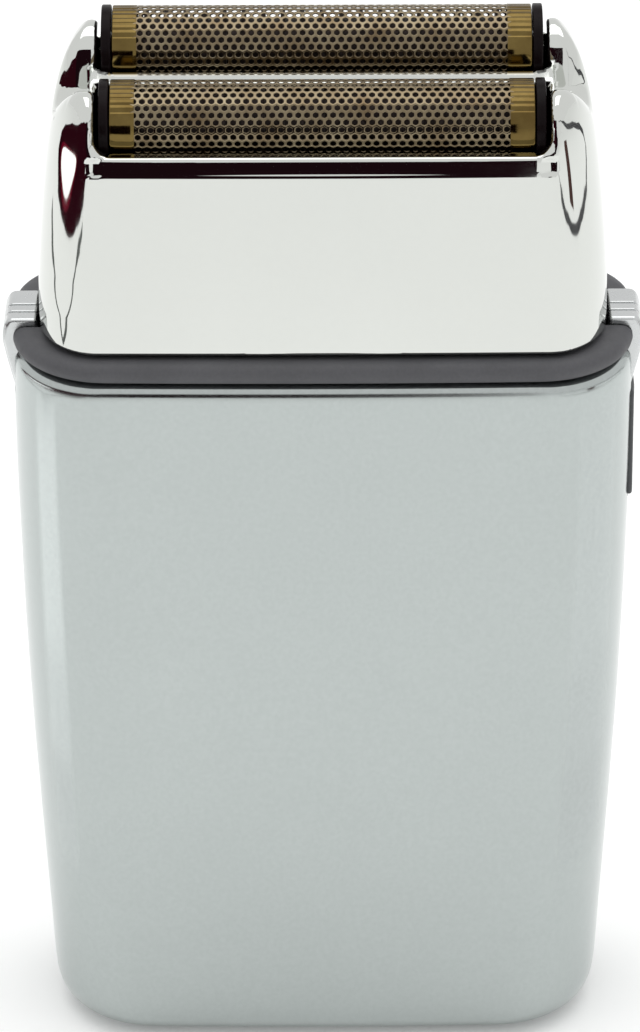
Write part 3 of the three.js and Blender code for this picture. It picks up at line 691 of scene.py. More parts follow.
# z, growth over the widest line
COLLAR_PROFILE = [
    (77.52, -0.95), (77.56, -0.62), (77.72, -0.30), (78.0, -0.10), (78.35, -0.01), (78.65, 0.0),
    (78.95, -0.04), (79.25, -0.16), (79.5, -0.36), (79.68, -0.62), (79.78, -0.95), (79.8, -1.4)]
COLLAR_BORE_Z = (79.66, 78.6, 77.66)


def collar():
    bore = half_outline(half_width=27.75, half_depth=11.2, corner_x=7, corner_y=8, crown=0.3)

    def toward_bore(ring, share):
        z, front, rear = ring
        return z, lerp(front, bore, share), lerp(rear, bore, share)

    rings = []      # height, front outline, rear outline before it is turned round
    for z, growth in COLLAR_PROFILE:
        size = (COLLAR_WIDTH + growth, COLLAR_DEPTH + growth)
        rings.append((z, half_outline(*size, *FRONT_CORNER, CROWN),
                      half_outline(*size, *REAR_CORNER, CROWN)))
    bottom, top_ring = rings[0], rings[-1]
    rings += [toward_bore(top_ring, share) for share in (0.45, 0.85)]
    rings += [(z, bore, bore) for z in COLLAR_BORE_Z]
    rings += [toward_bore(bottom, share) for share in (0.85, 0.45)]
    loops = []
    for z, front, rear in rings:
        outline = np.concatenate([front, -rear])
        loops.append(np.column_stack([outline, np.full(len(outline), z)]))
    loops = np.stack(loops)

    # the buttons pass through a pocket in each side: columns inside it stop at POCKET_X
    inside = np.abs(loops[0, :, 1]) < NOTCH_Y - 0.01
    count = len(inside)
    columns = []
    for i in range(count):
        column = loops[:, i]
        pulled = column.copy()
        pulled[:, 0] = np.clip(pulled[:, 0], -POCKET_X, POCKET_X)
        if inside[i]:
            columns.append(pulled)
        elif inside[i - 1]:
            columns += [pulled, column]
        elif inside[(i + 1) % count]:
            columns += [column, pulled]
        else:
            columns.append(column)
    points = np.stack(columns, 1)
    ring_count, around = points.shape[:2]
    faces = []
    for r in range(ring_count):
        this, following = r * around, ((r + 1) % ring_count) * around
        for i in range(around):
            j = (i + 1) % around
            faces.append((this + i, this + j, following + j, following + i))
    ob = make_mesh("collar_band", points.reshape(-1, 3), faces)
    outward(ob, merge=True)
    bevel(ob, width=0.18, segments=2, angle=50)
    return ob


place(collar(), "body", "grey_rubber", "collar_ring")


# ------------------------------------------------------------------ head
# z, half width, half depth to the front, half depth to the rear
HEAD_STATIONS = np.array([
    [80.1, 29.05, 12.9, 12.85], [80.6, 29.3, 13.08, 13.05], [84, 29.3, 13.0, 13.0],
    [88, 29.12, 12.82, 13.0], [92.1, 28.82, 12.58, 12.95], [97.6, 28.3, 12.25, 12.9],
    [100, 28.0, 12.12, 12.85], [102.7, 27.55, 11.95, 12.8], [105.2, 26.95, 11.7, 12.7],
    [106.9, 26.4, 11.5, 12.5], [107.8, 26.0, 11.4, 12.4], [108.7, 25.5, 11.4, 12.2],
    [109.5, 24.85, 11.4, 12.0], [110.2, 24.05, 11.4, 12.0], [110.8, 22.9, 11.4, 12.0],
    [111.6, 20.0, 11.4, 12.0]])
# the same curves sampled finely, with the slope of the half width
SAMPLE_Z = np.linspace(79, 112.5, 1400)
SAMPLE_WIDTH, SAMPLE_FRONT, SAMPLE_REAR = (
    monotone_curve(HEAD_STATIONS[:, 0], HEAD_STATIONS[:, k])(SAMPLE_Z) for k in (1, 2, 3))
SAMPLE_SLOPE = np.gradient(SAMPLE_WIDTH, SAMPLE_Z)

# the foils' frames: u along x, v rearwards along the tilt, w away from the head
TILT = math.radians(20)
COS_TILT, SIN_TILT = math.cos(TILT), math.sin(TILT)
FOIL_CENTRES = {"front": (-5.5, 102.9), "rear": (5.5, 106.9)}      # y, z
BRIDGE_CENTRE = (0.0, 104.9)
OPENING_X = 23.0                # half length of the foil openings
OPENING_V, OPENING_W = 4.75, -4.7       # their half width and their floor


def envelope(x, y, z, grow=0.0):
    """Plan outline of the head at each height, with elliptical corners and crowned faces."""
    half_width = np.interp(z, SAMPLE_Z, SAMPLE_WIDTH) + grow
    half_depth = np.where(y < 0, np.interp(z, SAMPLE_Z, SAMPLE_FRONT),
                          np.interp(z, SAMPLE_Z, SAMPLE_REAR)) + grow
    slope = np.interp(z, SAMPLE_Z, SAMPLE_SLOPE)
    corner_x = np.interp(z, [80, 100, 110], [6.2, 5.0, 4.4]) + grow
    corner_y = 9.5 + grow
    past_x = np.abs(x) - (half_width - corner_x)
    past_y = np.abs(y) + 0.25 * (x / half_width) ** 2 - (half_depth - corner_y)
    ratio_x, ratio_y = np.maximum(past_x, 0) / corner_x, np.maximum(past_y, 0) / corner_y
    reach = np.sqrt(ratio_x * ratio_x + ratio_y * ratio_y)
    steepness = np.sqrt((ratio_x / corner_x) ** 2 + (ratio_y / corner_y) ** 2)
    inner = np.maximum(past_x - corner_x, past_y - corner_y)
    distance = np.where(steepness > 1e-9, reach * (reach - 1) / np.maximum(steepness, 1e-9), inner)
    # the leaning sides make the distance shorter, by their share of the direction
    share = np.where(reach > 1e-9, (ratio_x / np.maximum(reach, 1e-9)) ** 2,
                     (past_x > past_y) * 1.0)
    return distance / np.sqrt(1 + share * slope * slope)


def lobe(y, z, centre_y, centre_z, radius, front_lean, back_lean):
    """Front face and back slope (degrees), with a circle that touches both between them."""
    front, back = math.radians(front_lean), math.radians(back_lean)
    front_y, front_z = -math.cos(front), math.sin(front)
    back_y, back_z = -math.cos(back), math.sin(back)
    dy, dz = y - centre_y, z - centre_z
    front_face = dy * front_y + dz * front_z - radius
    back_face = dy * back_y + dz * back_z - radius
    circle = np.hypot(dy, dz) - radius
    # inside the wedge between the two normals the circle rules, outside it the nearer face does
    before = dy * -front_z + dz * front_y       # > 0 below the front contact point
    behind = dy * back_z - dz * back_y          # > 0 behind the back contact point
    shape = np.where(before > 0, front_face, np.where(behind > 0, back_face, circle))
    return np.where(z < centre_z - 1.0, np.maximum(front_face, back_face), shape)


def side_profile(y, z):
    """A rounded lobe beside each foil, with a valley between them."""
    front = lobe(y, z, centre_y=-8.38, centre_z=104.2, radius=3.0, front_lean=10, back_lean=118)
    rear = lobe(y, z, centre_y=4.5, centre_z=107.3, radius=2.85, front_lean=12, back_lean=115)
    rear = meet(rear, y - 12.9, 4.6)
    return unite(front, rear, 1.4)


def to_tilted(y, z, centre):
    """(v, w) in the tilted frame at a centre (y, z)."""
    dy, dz = y - centre[0], z - centre[1]
    return dy * COS_TILT + dz * SIN_TILT, -dy * SIN_TILT + dz * COS_TILT


def top_profile(y, z):
    """Front step, front lip, bridge and rear lip, with the two foil openings between them."""
    step = z - 99.5
    riser = (-(y + 11.95) + (z - 100.4) * 0.19) * 0.98
    lip = np.maximum(meet(riser, z - 101.35, 0.3), y + 8.2)
    v, w = to_tilted(y, z, BRIDGE_CENTRE)
    bridge = np.maximum(np.abs(v) - 2.5, w - 0.9)
    rear_lip = np.maximum(8.0 - y, z - 107.9)
    shape = np.minimum(np.minimum(unite(step, lip, 0.25), bridge), rear_lip)
    for centre in FOIL_CENTRES.values():
        v, w = to_tilted(y, z, centre)
        shape = carve(shape, np.maximum(np.abs(v) - OPENING_V, OPENING_W - w), 0.42)
    return shape


NUDGE = 0.05                    # step of the head's finite differences


def envelope_side_cosine(x, y, z):
    """Cosine between the gradients of the envelope and the side profile."""
    def unit_gradient(field):
        slopes = []
        for k in range(3):
            ahead, behind = [x, y, z], [x, y, z]
            ahead[k] = ahead[k] + NUDGE
            behind[k] = behind[k] - NUDGE
            slopes.append(field(*ahead) - field(*behind))
        length = np.sqrt(sum(slope * slope for slope in slopes)) + 1e-9
        return [slope / length for slope in slopes]

    plan = unit_gradient(envelope)
    side = unit_gradient(lambda x, y, z: side_profile(y, z))
    return sum(p * q for p, q in zip(plan, side))


def head_field(x, y, z):
    abs_x, abs_y = np.abs(x), np.abs(y)
    v, w = to_tilted(y, z, BRIDGE_CENTRE)
    bar = meet(np.maximum(np.abs(v) - 2.7, w - 1.1), abs_x - 23.75, 0.3)
    profile = np.minimum(side_profile(y, z), bar)
    # the edge is rounded less where plan and profile already face the same way
    radius = np.interp(z, [101, 104, 108, 111], [3.0, 2.7, 1.3, 0.8])
    turn = np.clip(1 - envelope_side_cosine(x, y, z), 0, 1)
    outside = meet(envelope(x, y, z), profile, np.maximum(radius * turn, 0.02))

    # the middle is cut down to the top profile, the ends keep their full height
    upward = (top_profile(y, z + NUDGE) - top_profile(y, z - NUDGE)) / (2 * NUDGE)
    fillet = 0.35 + 1.3 * np.clip(upward - 0.35, 0, 0.65) / 0.65
    kept = unite(OPENING_X - abs_x, top_profile(y, z), fillet)
    edge = (np.interp(abs_x, [21.9, 23.2], [0.25, 1.1])
            * np.interp(z, [96, 100, 105, 107.5, 110], [0.4, 1.0, 0.9, 0.55, 0.4]))
    shell = meet(outside, kept, edge)

    shell = carve(shell, np.maximum(envelope(x, y, z, grow=-1.4), w + 3.3), 0.25)
    shell = meet(shell, 80.12 - z, 0.4)
    # latch recesses inside, pockets for the button pads outside
    recess = np.maximum(np.maximum(slab(abs_x, 26.0, 28.7), abs_y - 2.6), slab(z, 82.2, 84.6))
    pocket = np.maximum(np.maximum(POCKET_X - abs_x, abs_y - NOTCH_Y), z - 81.0)
    return np.maximum(carve(shell, pocket, 0.2), -recess)


head = field_piece("head_shell", head_field, low=(-30.3, -14.2, 79.3), high=(30.3, 14.2, 112.0),
                   cell=0.38)
place(head, "head", "bright_chrome", "head_frame")


# ------------------------------------------------------------------ foils
FOIL_RADIUS = 4.3
FLANK = 1.55                    # straight part below the arc
HALF_ARC = math.pi * FOIL_RADIUS / 2
EDGE_S = HALF_ARC + FLANK       # arc length from the crown to the lower edge
SHEET = 0.14                    # thickness
PITCH = 0.875                   # spacing of the holes along a row
ROW = PITCH * math.sqrt(3) / 2  # spacing of the rows
ROWS, COLUMNS = 21, 44
HOLE_AT_CORNER, HOLE_AT_FLAT = 0.305, 0.285     # radii of the rounded hexagon
# Layers through the sheet: growth over the hole (None: the cell's edge), depth,
# lean of the normal towards the hole, outward part of the normal
SHEET_LAYERS = [
    (None, 0.0, 0.0, 1.0), (0.055, 0.008, 0.18, 1.0), (0.0, 0.06, 0.9, 0.6),
    (0.0, SHEET, 0.9, -0.6), (None, SHEET, 0.0, -1.0)]
STRIP_IN, STRIP_OUT = COLUMNS * PITCH / 2 - 0.30, 21.45        # ends of the solid end strips in x
MARGIN_S = (ROWS - 1) / 2 * ROW + 0.36          # where the solid lower edges start


def tilted(v, w):
    """Direction (v, w) of a foil's frame, in x, y, z."""
    return np.array([0.0, v * COS_TILT - w * SIN_TILT, v * SIN_TILT + w * COS_TILT])


def from_frame(side, u, v, w):
    centre_y, centre_z = FOIL_CENTRES[side]
    return np.stack([u, centre_y + v * COS_TILT - w * SIN_TILT,
                     centre_z + v * SIN_TILT + w * COS_TILT], -1)


def foil_normal(s):
    """Outward (v, w) at arc length s from the crown, negative towards the front."""
    if abs(s) - HALF_ARC > 0:
        return np.sign(s), 0.0
    angle = np.clip(s / FOIL_RADIUS, -math.pi / 2, math.pi / 2)
    return np.sin(angle), np.cos(angle)


def foil_point(side, x, s, radius):
    normal_v, normal_w = foil_normal(s)
    over = abs(s) - HALF_ARC
    return from_frame(side, x, radius * normal_v, -over if over > 0 else radius * normal_w)


def hexagon_cell():
    """Twelve steps round a cell: edge point, direction of the hole's edge, its radius."""
    reach = PITCH / math.sqrt(3)
    corners = [(reach * math.sin(math.radians(60 * i)), reach * math.cos(math.radians(60 * i)))
               for i in range(6)]
    steps = []
    for i in range(6):
        (x, s), (next_x, next_s) = corners[i], corners[(i + 1) % 6]
        for edge_x, edge_s, radius in ((x, s, HOLE_AT_CORNER),
                                       ((x + next_x) / 2, (s + next_s) / 2, HOLE_AT_FLAT)):
            length = math.hypot(edge_x, edge_s)
            steps.append((edge_x, edge_s, edge_x / length, edge_s / length, radius))
    return steps


def foil_sheet(side):
    """Perforated sheet of hexagonal cells, with shared vertices and its own normals."""
    points, normals, faces = [], [], []
    known = {}

    def vertex(x, s, layer, toward_x, toward_s):
        _, depth, lean, outward_part = SHEET_LAYERS[layer]
        radius = FOIL_RADIUS - depth
        key = (round(x, 4), round(s, 4), round(radius, 4), layer)
        if key not in known:
            v, w = foil_normal(s)
            normal = (outward_part * tilted(v, w) - lean * toward_s * tilted(w, -v)
                      - np.array([lean * toward_x, 0, 0]))
            known[key] = len(points)
            points.append(foil_point(side, x, s, radius))
            normals.append(normal / np.linalg.norm(normal))
        return known[key]

    steps = hexagon_cell()
    for j in range(ROWS):
        row_s = (j - (ROWS - 1) / 2) * ROW
        for i in range(COLUMNS):
            cell_x = (i - (COLUMNS - 1) / 2) * PITCH + (PITCH / 4 if j % 2 else -PITCH / 4)
            stacks = []     # for each step the vertices through the sheet
            for edge_x, edge_s, hole_x, hole_s, radius in steps:
                stack = []
                for layer, (growth, *_) in enumerate(SHEET_LAYERS):
                    if growth is None:
                        x, s = edge_x, edge_s
                    else:
                        x, s = hole_x * (radius + growth), hole_s * (radius + growth)
                    stack.append(vertex(cell_x + x, row_s + s, layer, hole_x, hole_s))
                stacks.append(stack)
            for k in range(12):
                here, there = stacks[k], stacks[(k + 1) % 12]
                for a in range(len(SHEET_LAYERS) - 1):
                    faces.append((here[a], there[a], there[a + 1], here[a + 1]))
    ob = make_mesh(f"foil_mesh_{side}", points, faces)

    # turn the faces to follow the stored normals
    normals = np.array(normals)
    bm = bmesh.new()
    bm.from_mesh(ob.data)
    bm.faces.ensure_lookup_table()
    wrong = []
    for face in bm.faces:
        mean = Vector(np.mean([normals[v.index] for v in face.verts], axis=0))
        if face.normal.dot(mean) < 0:
            wrong.append(face)
    bmesh.ops.reverse_faces(bm, faces=wrong)
    bm.to_mesh(ob.data)
    bm.free()
    ob.data.normals_split_custom_set_from_vertices(normals.tolist())
    return ob


def rib(s):
    """Fine grooves at the pitch of the hole rows, with smooth flanks below them."""
    phase = (s / ROW) % 1.0 - 0.5
    groove = np.exp(-(phase / 0.13) ** 2)
    fade = smooth_step(math.radians(43) * FOIL_RADIUS - np.abs(s), -0.1, 0.2)
    return (0.012 * np.cos(2 * np.pi * s / ROW) - 0.045 * groove) * fade


def foil_band(side):
    """Solid margins: ribbed end strips and plain lower edges."""
    points, faces = [], []
    strip_x = [STRIP_IN, STRIP_IN + 0.06, STRIP_IN + 0.5, STRIP_OUT - 0.12, STRIP_OUT]
    strip_s = np.unique(np.round(np.concatenate(
        [np.linspace(-EDGE_S, EDGE_S, 260), [-MARGIN_S, MARGIN_S]]), 6))
    for sign in (-1, 1):
        first = len(points)
        for s in strip_s:
            for k, x in enumerate(strip_x):
                ribbing = rib(s) * (0.0 if k == 0 else 1.0)
                radius = FOIL_RADIUS + 0.03 + ribbing - (0.05 if k in (0, 4) else 0.0)
                points.append(foil_point(side, sign * x, s, radius))
            for x in strip_x[::-1]:
                points.append(foil_point(side, sign * x, s, FOIL_RADIUS - 0.17))
        faces += tube_faces(len(strip_s), 2 * len(strip_x), first, first_end_reversed=False)

    edge_s = np.linspace(MARGIN_S, EDGE_S, 14)
    edge_x = np.linspace(-STRIP_IN - 0.1, STRIP_IN + 0.1, 45)
    section = [(s, FOIL_RADIUS + 0.012) for s in edge_s]
    section[0] = (MARGIN_S, FOIL_RADIUS - 0.01)
    section += [(s, FOIL_RADIUS - 0.15) for s in edge_s[::-1]]
    for sign in (-1, 1):
        first = len(points)
        for x in edge_x:
            for s, radius in section:
                points.append(foil_point(side, x, sign * s, radius))
        faces += tube_faces(len(edge_x), len(section), first, first_end_reversed=False)
    ob = make_mesh(f"foil_band_{side}", points, faces)
    outward(ob)
    bevel(ob, width=0.03, segments=1, angle=50)
    return ob


for side in ("front", "rear"):
    sheet = foil_sheet(side)
    band = foil_band(side)
    place(sheet, f"{side}_foil", "gold_foil", f"foil_{side}", finish="foil_mesh")
    place(band, f"{side}_foil", "gold_foil", f"foil_{side}")


# ------------------------------------------------------------------ foil frames
FRAME_RADIUS, FRAME_FOOT = 4.4, -3.4
CAP_IN, CAP_OUT = 21.6, 22.6    # the end caps in x
RAIL_INNER_V, RAIL_TOP, RAIL_X = 3.5, -1.95, 21.8


def arch(radius, foot, count):
    """(v, w) outline of a half disc standing on straight legs that end at w = foot."""
    arc = [(radius * math.cos(a), radius * math.sin(a)) for a in np.linspace(0, math.pi, count)]
    return [(radius, foot), *arc, (-radius, foot)]


def extrude(name, outline, start_x, end_x, side):
    """Closed (v, w) outline in a foil's frame, extruded along the foil."""
    outline = np.array(outline, float)
    count = len(outline)
    points = np.concatenate([from_frame(side, np.full(count, x), outline[:, 0], outline[:, 1])
                             for x in (start_x, end_x)])
    ob = make_mesh(name, points, tube_faces(2, count))
    outward(ob)
    return ob


def foil_holder(side):
    """Two arched end caps and two rails."""
    parts = []
    cap = arch(FRAME_RADIUS, FRAME_FOOT, 65)
    for sign in (-1, 1):
        ends = sorted((sign * CAP_IN, sign * CAP_OUT))
        parts.append(extrude(f"cap_{side}_{sign}", cap, *ends, side))
    for sign in (-1, 1):
        low, high = sorted((sign * RAIL_INNER_V, sign * FRAME_RADIUS))
        rail = [(low, FRAME_FOOT), (high, FRAME_FOOT), (high, RAIL_TOP), (low, RAIL_TOP)]
        parts.append(extrude(f"rail_{side}_{sign}", rail, -RAIL_X, RAIL_X, side))
    ob = join(f"foil_holder_{side}", parts)
    bevel(ob, width=0.16, segments=3, angle=40)
    return ob


for side in ("front", "rear"):
    place(foil_holder(side), f"{side}_foil", "black_plastic", f"foil_frame_{side}")


# ------------------------------------------------------------------ release buttons
# outer face of the right pad: x over z
pad_face = monotone_curve([72.6, 74.6, 76.8, 78.4, 79.6, 80.8],
                          [31.9, 32.4, 32.92, 33.18, 33.02, 32.4])
LEG_Y = 2.4                     # half width of arm and leg
ARM_Z = (73.0, 74.7)
LEG_X, LATCH_TOP = (25.6, 26.6), 84.2
GROOVES_Y = (-1.9, 0.0)         # short grooves in the pad's top edge


def button_field(x, y, z):
    pad = meet((x - pad_face(z)) * 0.98, np.abs(y) - 3.95, 0.6)
    pad = meet(pad, z - 80.6, 0.35)
    pad = meet(pad, 72.8 - z, 0.3)
    pad = meet(pad, 29.65 - x, 0.25)
    arm = box(x, y, z, (LEG_X[0], 30.2), LEG_Y, ARM_Z, 0.2)
    leg = box(x, y, z, LEG_X, LEG_Y, (ARM_Z[0], LATCH_TOP), 0.2)
    tooth = box(x, y, z, (26.2, 27.75), 2.0, (82.6, LATCH_TOP), 0.15)
    button = unite(pad, unite(arm, unite(leg, tooth, 0.1), 0.4), 0.25)
    for groove_y in GROOVES_Y:
        button = carve(button, np.maximum(np.abs(y - groove_y) - 0.2, 80.28 - z), 0.1)
    return button


def mirrored(name, ob):
    """Copy of a piece mirrored over x = 0, with its normals."""
    mesh = ob.data
    normals = np.zeros(len(mesh.loops) * 3, np.float32)
    mesh.corner_normals.foreach_get("vector", normals)
    points = np.zeros(len(mesh.vertices) * 3, np.float32)
    mesh.vertices.foreach_get("co", points)
    points = points.reshape(-1, 3) * [-1, 1, 1]
    faces = [tuple(polygon.vertices)[::-1] for polygon in mesh.polygons]
    vertex_of_loop = np.zeros(len(mesh.loops), np.int64)
    mesh.loops.foreach_get("vertex_index", vertex_of_loop)
    vertex_normals = np.zeros((len(points), 3))
    vertex_normals[vertex_of_loop] = normals.reshape(-1, 3) * [-1, 1, 1]
    return make_mesh(name, points / MM, faces, vertex_normals)


right_button = field_piece("button_right", button_field,
                           low=(25.2, -4.2, 72.4), high=(33.8, 4.2, 84.8), cell=0.16)
left_button = mirrored("button_left", right_button)
place(right_button, "right_button", "silver_button", "release_button_right")
place(left_button, "left_button", "silver_button", "release_button_left")


# ------------------------------------------------------------------ power switch
KNOB_Z = 64.75
KNOB_GROOVES_Z = (63.35, 64.05, KNOB_Z, 65.45, 66.15)


def bezel_field(x, y, z):
    outline = meet(np.abs(y) - 4.1, np.abs(z - 66.24) - 5.92, 0.7)
    plate = meet(outline, slab(x, 30.95, 32.48 - 0.012 * y * y), 0.28)
    window = meet(np.abs(y) - 2.0, np.abs(z - 66.6) - 4.4, 0.8)
    return carve(plate, window, 0.22)


def slider_field(x, y, z):
    plate = box(x, y, z, (29.9, 30.7), 2.7, (61.2, 68.2), 0.12)
    knob_outline = meet(np.abs(y) - 1.7, np.abs(z - KNOB_Z) - 2.25, 0.7)
    knob = meet(knob_outline, slab(x, 30.3, 32.35 - 0.02 * (z - KNOB_Z) ** 2), 0.25)
    for groove_z in KNOB_GROOVES_Z:
        knob = carve(knob, np.hypot(x - 32.38, z - groove_z) - 0.2, 0.05)
    tab = box(x, y, z, (29.5, 30.2), 0.7, (64.0, 65.4), 0.08)
    return unite(unite(plate, knob, 0.1), tab, 0.05)


bezel = field_piece("switch_surround", bezel_field,
                    low=(30.5, -4.4, 60.1), high=(33.0, 4.4, 72.5), cell=0.15)
place(bezel, "body", "grey_rubber", "switch_bezel", finish="switch_grey")
slider = field_piece("switch_thumb", slider_field,
                     low=(29.2, -3.0, 60.9), high=(33.4, 3.0, 68.5), cell=0.13)
place(slider, "power_switch", "dark_plastic", "switch_slider")


# ------------------------------------------------------------------ base cap
def rounded_plan(x, y, half_width, half_depth, corner):
    dx, dy = np.abs(x) - (half_width - corner), np.abs(y) - (half_depth - corner)
    outside = np.hypot(np.maximum(dx, 0), np.maximum(dy, 0))
    return outside + np.minimum(np.maximum(dx, dy), 0) - corner


def base_field(x, y, z):
    foot = meet(rounded_plan(x, y, half_width=21.5, half_depth=8.2, corner=4.8), -z, 0.55)
    foot = np.maximum(foot, z - 3.4)
    flange = meet(rounded_plan(x, y, half_width=23.6, half_depth=9.8, corner=5.8),
                  np.abs(z - 3.65) - 0.65, 0.2)
    cap = unite(foot, flange, 0.05)
    # a shallow groove round the foot
    groove = np.abs(rounded_plan(x, y, half_width=19.6, half_depth=6.3, corner=3.4)) - 0.22
    cap = carve(cap, np.maximum(groove, z - 0.3), 0.1)
    # a hole in the middle, a small one to its right, and a counterbored one at each end
    cap = carve(cap, np.hypot(x, y) - 4.0, 0.3)
    cap = carve(cap, np.hypot(x - 7.5, y) - 1.2, 0.12)
    for sign in (-1, 1):
        radius = np.hypot(x - sign * 14, y)
        cap = carve(cap, np.maximum(radius - 2.1, z - 2.1), 0.15)
        cap = carve(cap, radius - 1.1, 0.05)
    return cap


base = field_piece("base_foot", base_field,
                   low=(-24.1, -10.3, -0.4), high=(24.1, 10.3, 4.7), cell=0.3)
place(base, "body", "dark_plastic", "base_cap")


# ------------------------------------------------------------------ springs
COIL_TURNS, COIL_CLOSED = 3.5, 0.75     # turns in all, and those lying closed at each end
COIL_LENGTH = 1.9
STEPS_PER_TURN, WIRE_SIDES = 40, 12
BUTTON_SPRING_Z = 73.0


def coil(name, radius, wire, length, base_point, along_x=False):
    """Spring from base_point along z, or along x."""
    steps = int(COIL_TURNS * STEPS_PER_TURN)
    shares = np.linspace(0, 1, steps + 1)
    rises = np.interp(shares * COIL_TURNS,
                      [0, COIL_CLOSED, COIL_TURNS - COIL_CLOSED, COIL_TURNS],
                      [0, 0.12, 0.88, 1.0])
    points = []
    for share, rise in zip(shares, rises):
        angle = 2 * math.pi * COIL_TURNS * share
        radial = np.array([math.cos(angle), math.sin(angle), 0])
        centre = radius * radial + np.array([0, 0, length * rise])
        for k in range(WIRE_SIDES):
            turn = 2 * math.pi * k / WIRE_SIDES
            rim = math.cos(turn) * radial + math.sin(turn) * np.array([0, 0, 1])
            points.append(centre + wire * rim)
    points = np.array(points)
    if along_x:
        points = points[:, [2, 1, 0]]
    ob = make_mesh(name, points + np.array(base_point), tube_faces(steps + 1, WIRE_SIDES))
    outward(ob)
    return ob


for side, y, tip in (("front", -5.8, 99.5), ("rear", 6.2, 103.2)):
    spring = coil(f"cutter_coil_{side}", radius=1.95, wire=0.22, length=COIL_LENGTH,
                  base_point=(0, y, tip - 4.7))
    place(spring, f"{side}_oscillator", "spring_steel", f"cutter_spring_{side}")
    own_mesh(spring)
for hand, sign in (("left", -1), ("right", 1)):
    spring = coil(f"button_coil_{hand}", radius=1.15, wire=0.2, length=sign * COIL_LENGTH,
                  base_point=(sign * 23.1, 0, BUTTON_SPRING_Z), along_x=True)
    place(spring, "body", "spring_steel", f"button_spring_{hand}")
    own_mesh(spring)


# ------------------------------------------------------------------ cutters
CORE_RADIUS, CORE_X = 2.9, 20.2
FIN_RADIUS, FIN_HALF = 3.75, 0.225
FIN_COUNT, FIN_PITCH = 21, 2.0
BLADE_FOOT = -1.2


def blade_pack(side):
    """Thin arched fins on a core."""
    core = arch(CORE_RADIUS, BLADE_FOOT, 41)
    fin = arch(FIN_RADIUS, BLADE_FOOT, 41)
    parts = [extrude(f"core_{side}", core, -CORE_X, CORE_X, side)]
    for i in range(FIN_COUNT):
        x = (i - FIN_COUNT // 2) * FIN_PITCH
        parts.append(extrude(f"fin_{side}_{i}", fin, x - FIN_HALF, x + FIN_HALF, side))
    ob = join(f"blade_pack_{side}", parts)
    bevel(ob, width=0.05, segments=1, angle=50)
    return ob


# the near-black cutter_steel finish is painted shade, seen through the foil holes
for side in ("front", "rear"):
    place(blade_pack(side), f"{side}_cutter", "cutter_steel", f"cutter_blades_{side}")


# ------------------------------------------------------------------ carried-over CAD nodes
# bevel widths by node; all others get DEFAULT_EDGE
EDGE_WIDTHS = {
    "battery_cell": 0.35, "motor_endcap": 0.12, "chassis": 0.18, "drive_deck": 0.16,
    "head_liner": 0.12, "oscillator_front": 0.12, "oscillator_rear": 0.12,
    "cutter_carrier_front": 0.14, "cutter_carrier_rear": 0.14, "switch_body": 0.15,
    "circuit_board": 0.06, "motor_can": 0.2, "double_eccentric": 0.08}
DEFAULT_EDGE = 0.08


def finish_cad_nodes():
    """Gives every CAD node that no piece replaces its material and soft edges."""
    slots = {part["node"]: part["material_slot"] for part in frame["record"]["subparts"]}
    replaced = {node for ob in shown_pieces() for node in list(ob.get("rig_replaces", []))}
    for node, ob in frame["nodes"].items():
        if node in replaced:
            continue
        finish = MATERIALS[slots[node]]
        if len(ob.material_slots) == 0:
            ob.data.materials.append(finish)
        else:
            for slot in ob.material_slots:
                slot.material = finish
        bevel(ob, width=EDGE_WIDTHS.get(node, DEFAULT_EDGE), segments=2, angle=40,
              weld=True, harden=False)


finish_cad_nodes()


# ------------------------------------------------------------------ floor, world and lamp
FLOOR_HALF = 6                  # metres


def add_floor():
    mesh = bpy.data.meshes.new("floor")
    corners = [(x * FLOOR_HALF, y * FLOOR_HALF, 0) for x, y in ((-1, -1), (1, -1), (1, 1), (-1, 1))]
    mesh.from_pydata(corners, [], [(0, 1, 2, 3)])
    floor = bpy.data.objects.new("floor", mesh)
    scene.collection.objects.link(floor)
    finish = bpy.data.materials.new("pale_floor")
    finish.use_nodes = True
    inputs = finish.node_tree.nodes["Principled BSDF"].inputs
    inputs["Base Color"].default_value = (0.92, 0.925, 0.92, 1)
    inputs["Emission Color"].default_value = (1, 1, 1, 1)
    inputs["Emission Strength"].default_value = 0.11
    inputs["Roughness"].default_value = 0.9
    inputs["Specular IOR Level"].default_value = 0.0
    mesh.materials.append(finish)


def add_world(color, strength):
    world = bpy.data.worlds.new("studio")
    scene.world = world
    world.use_nodes = True
    background = world.node_tree.nodes["Background"]
    background.inputs[0].default_value = (*color, 1)
    background.inputs[1].default_value = strength


def add_overhead(size, energy, location):
    """Rectangular lamp above the shaver; sizes in metres."""
    lamp = bpy.data.lights.new("overhead", "AREA")
    lamp.shape = "RECTANGLE"
    lamp.size, lamp.size_y = size
    lamp.energy = energy
    ob = bpy.data.objects.new("overhead", lamp)
    ob.location = location
    scene.collection.objects.link(ob)


add_floor()
add_world(color=(1.0, 1.0, 1.0), strength=0.88)
add_overhead(size=(0.9, 0.7), energy=2.6, location=(0.0, 0.05, 0.85))


# ------------------------------------------------------------------ reflected screens
WHITE = (1, 1, 1)
MAROON = (0.027, 0.0032, 0.007)
NEAR_BLACK = (0.012, 0.004, 0.006)
# y, z outline of the screens at both sides
SIDE_SCREEN = [
    (-355, 26), (-235, 26), (-190, 33), (-113, 41.5), (-55, 43.5), (12, 44.5), (64, 42),
    (92, 39), (114, 41), (140, 44), (132, 60), (105, 74), (45, 90), (-15, 98), (-70, 109),
    (-120, 124), (-224, 138), (-355, 174)]
# y, z line of the edge of the sweep
SWEEP_EDGE = [
    (150, 22), (109, 24), (80, 25), (58, 22), (30, 14), (4, 4), (-30, 11), (-57, 18),
    (-93, 27), (-131, 32), (-157, 31), (-230, 22)]


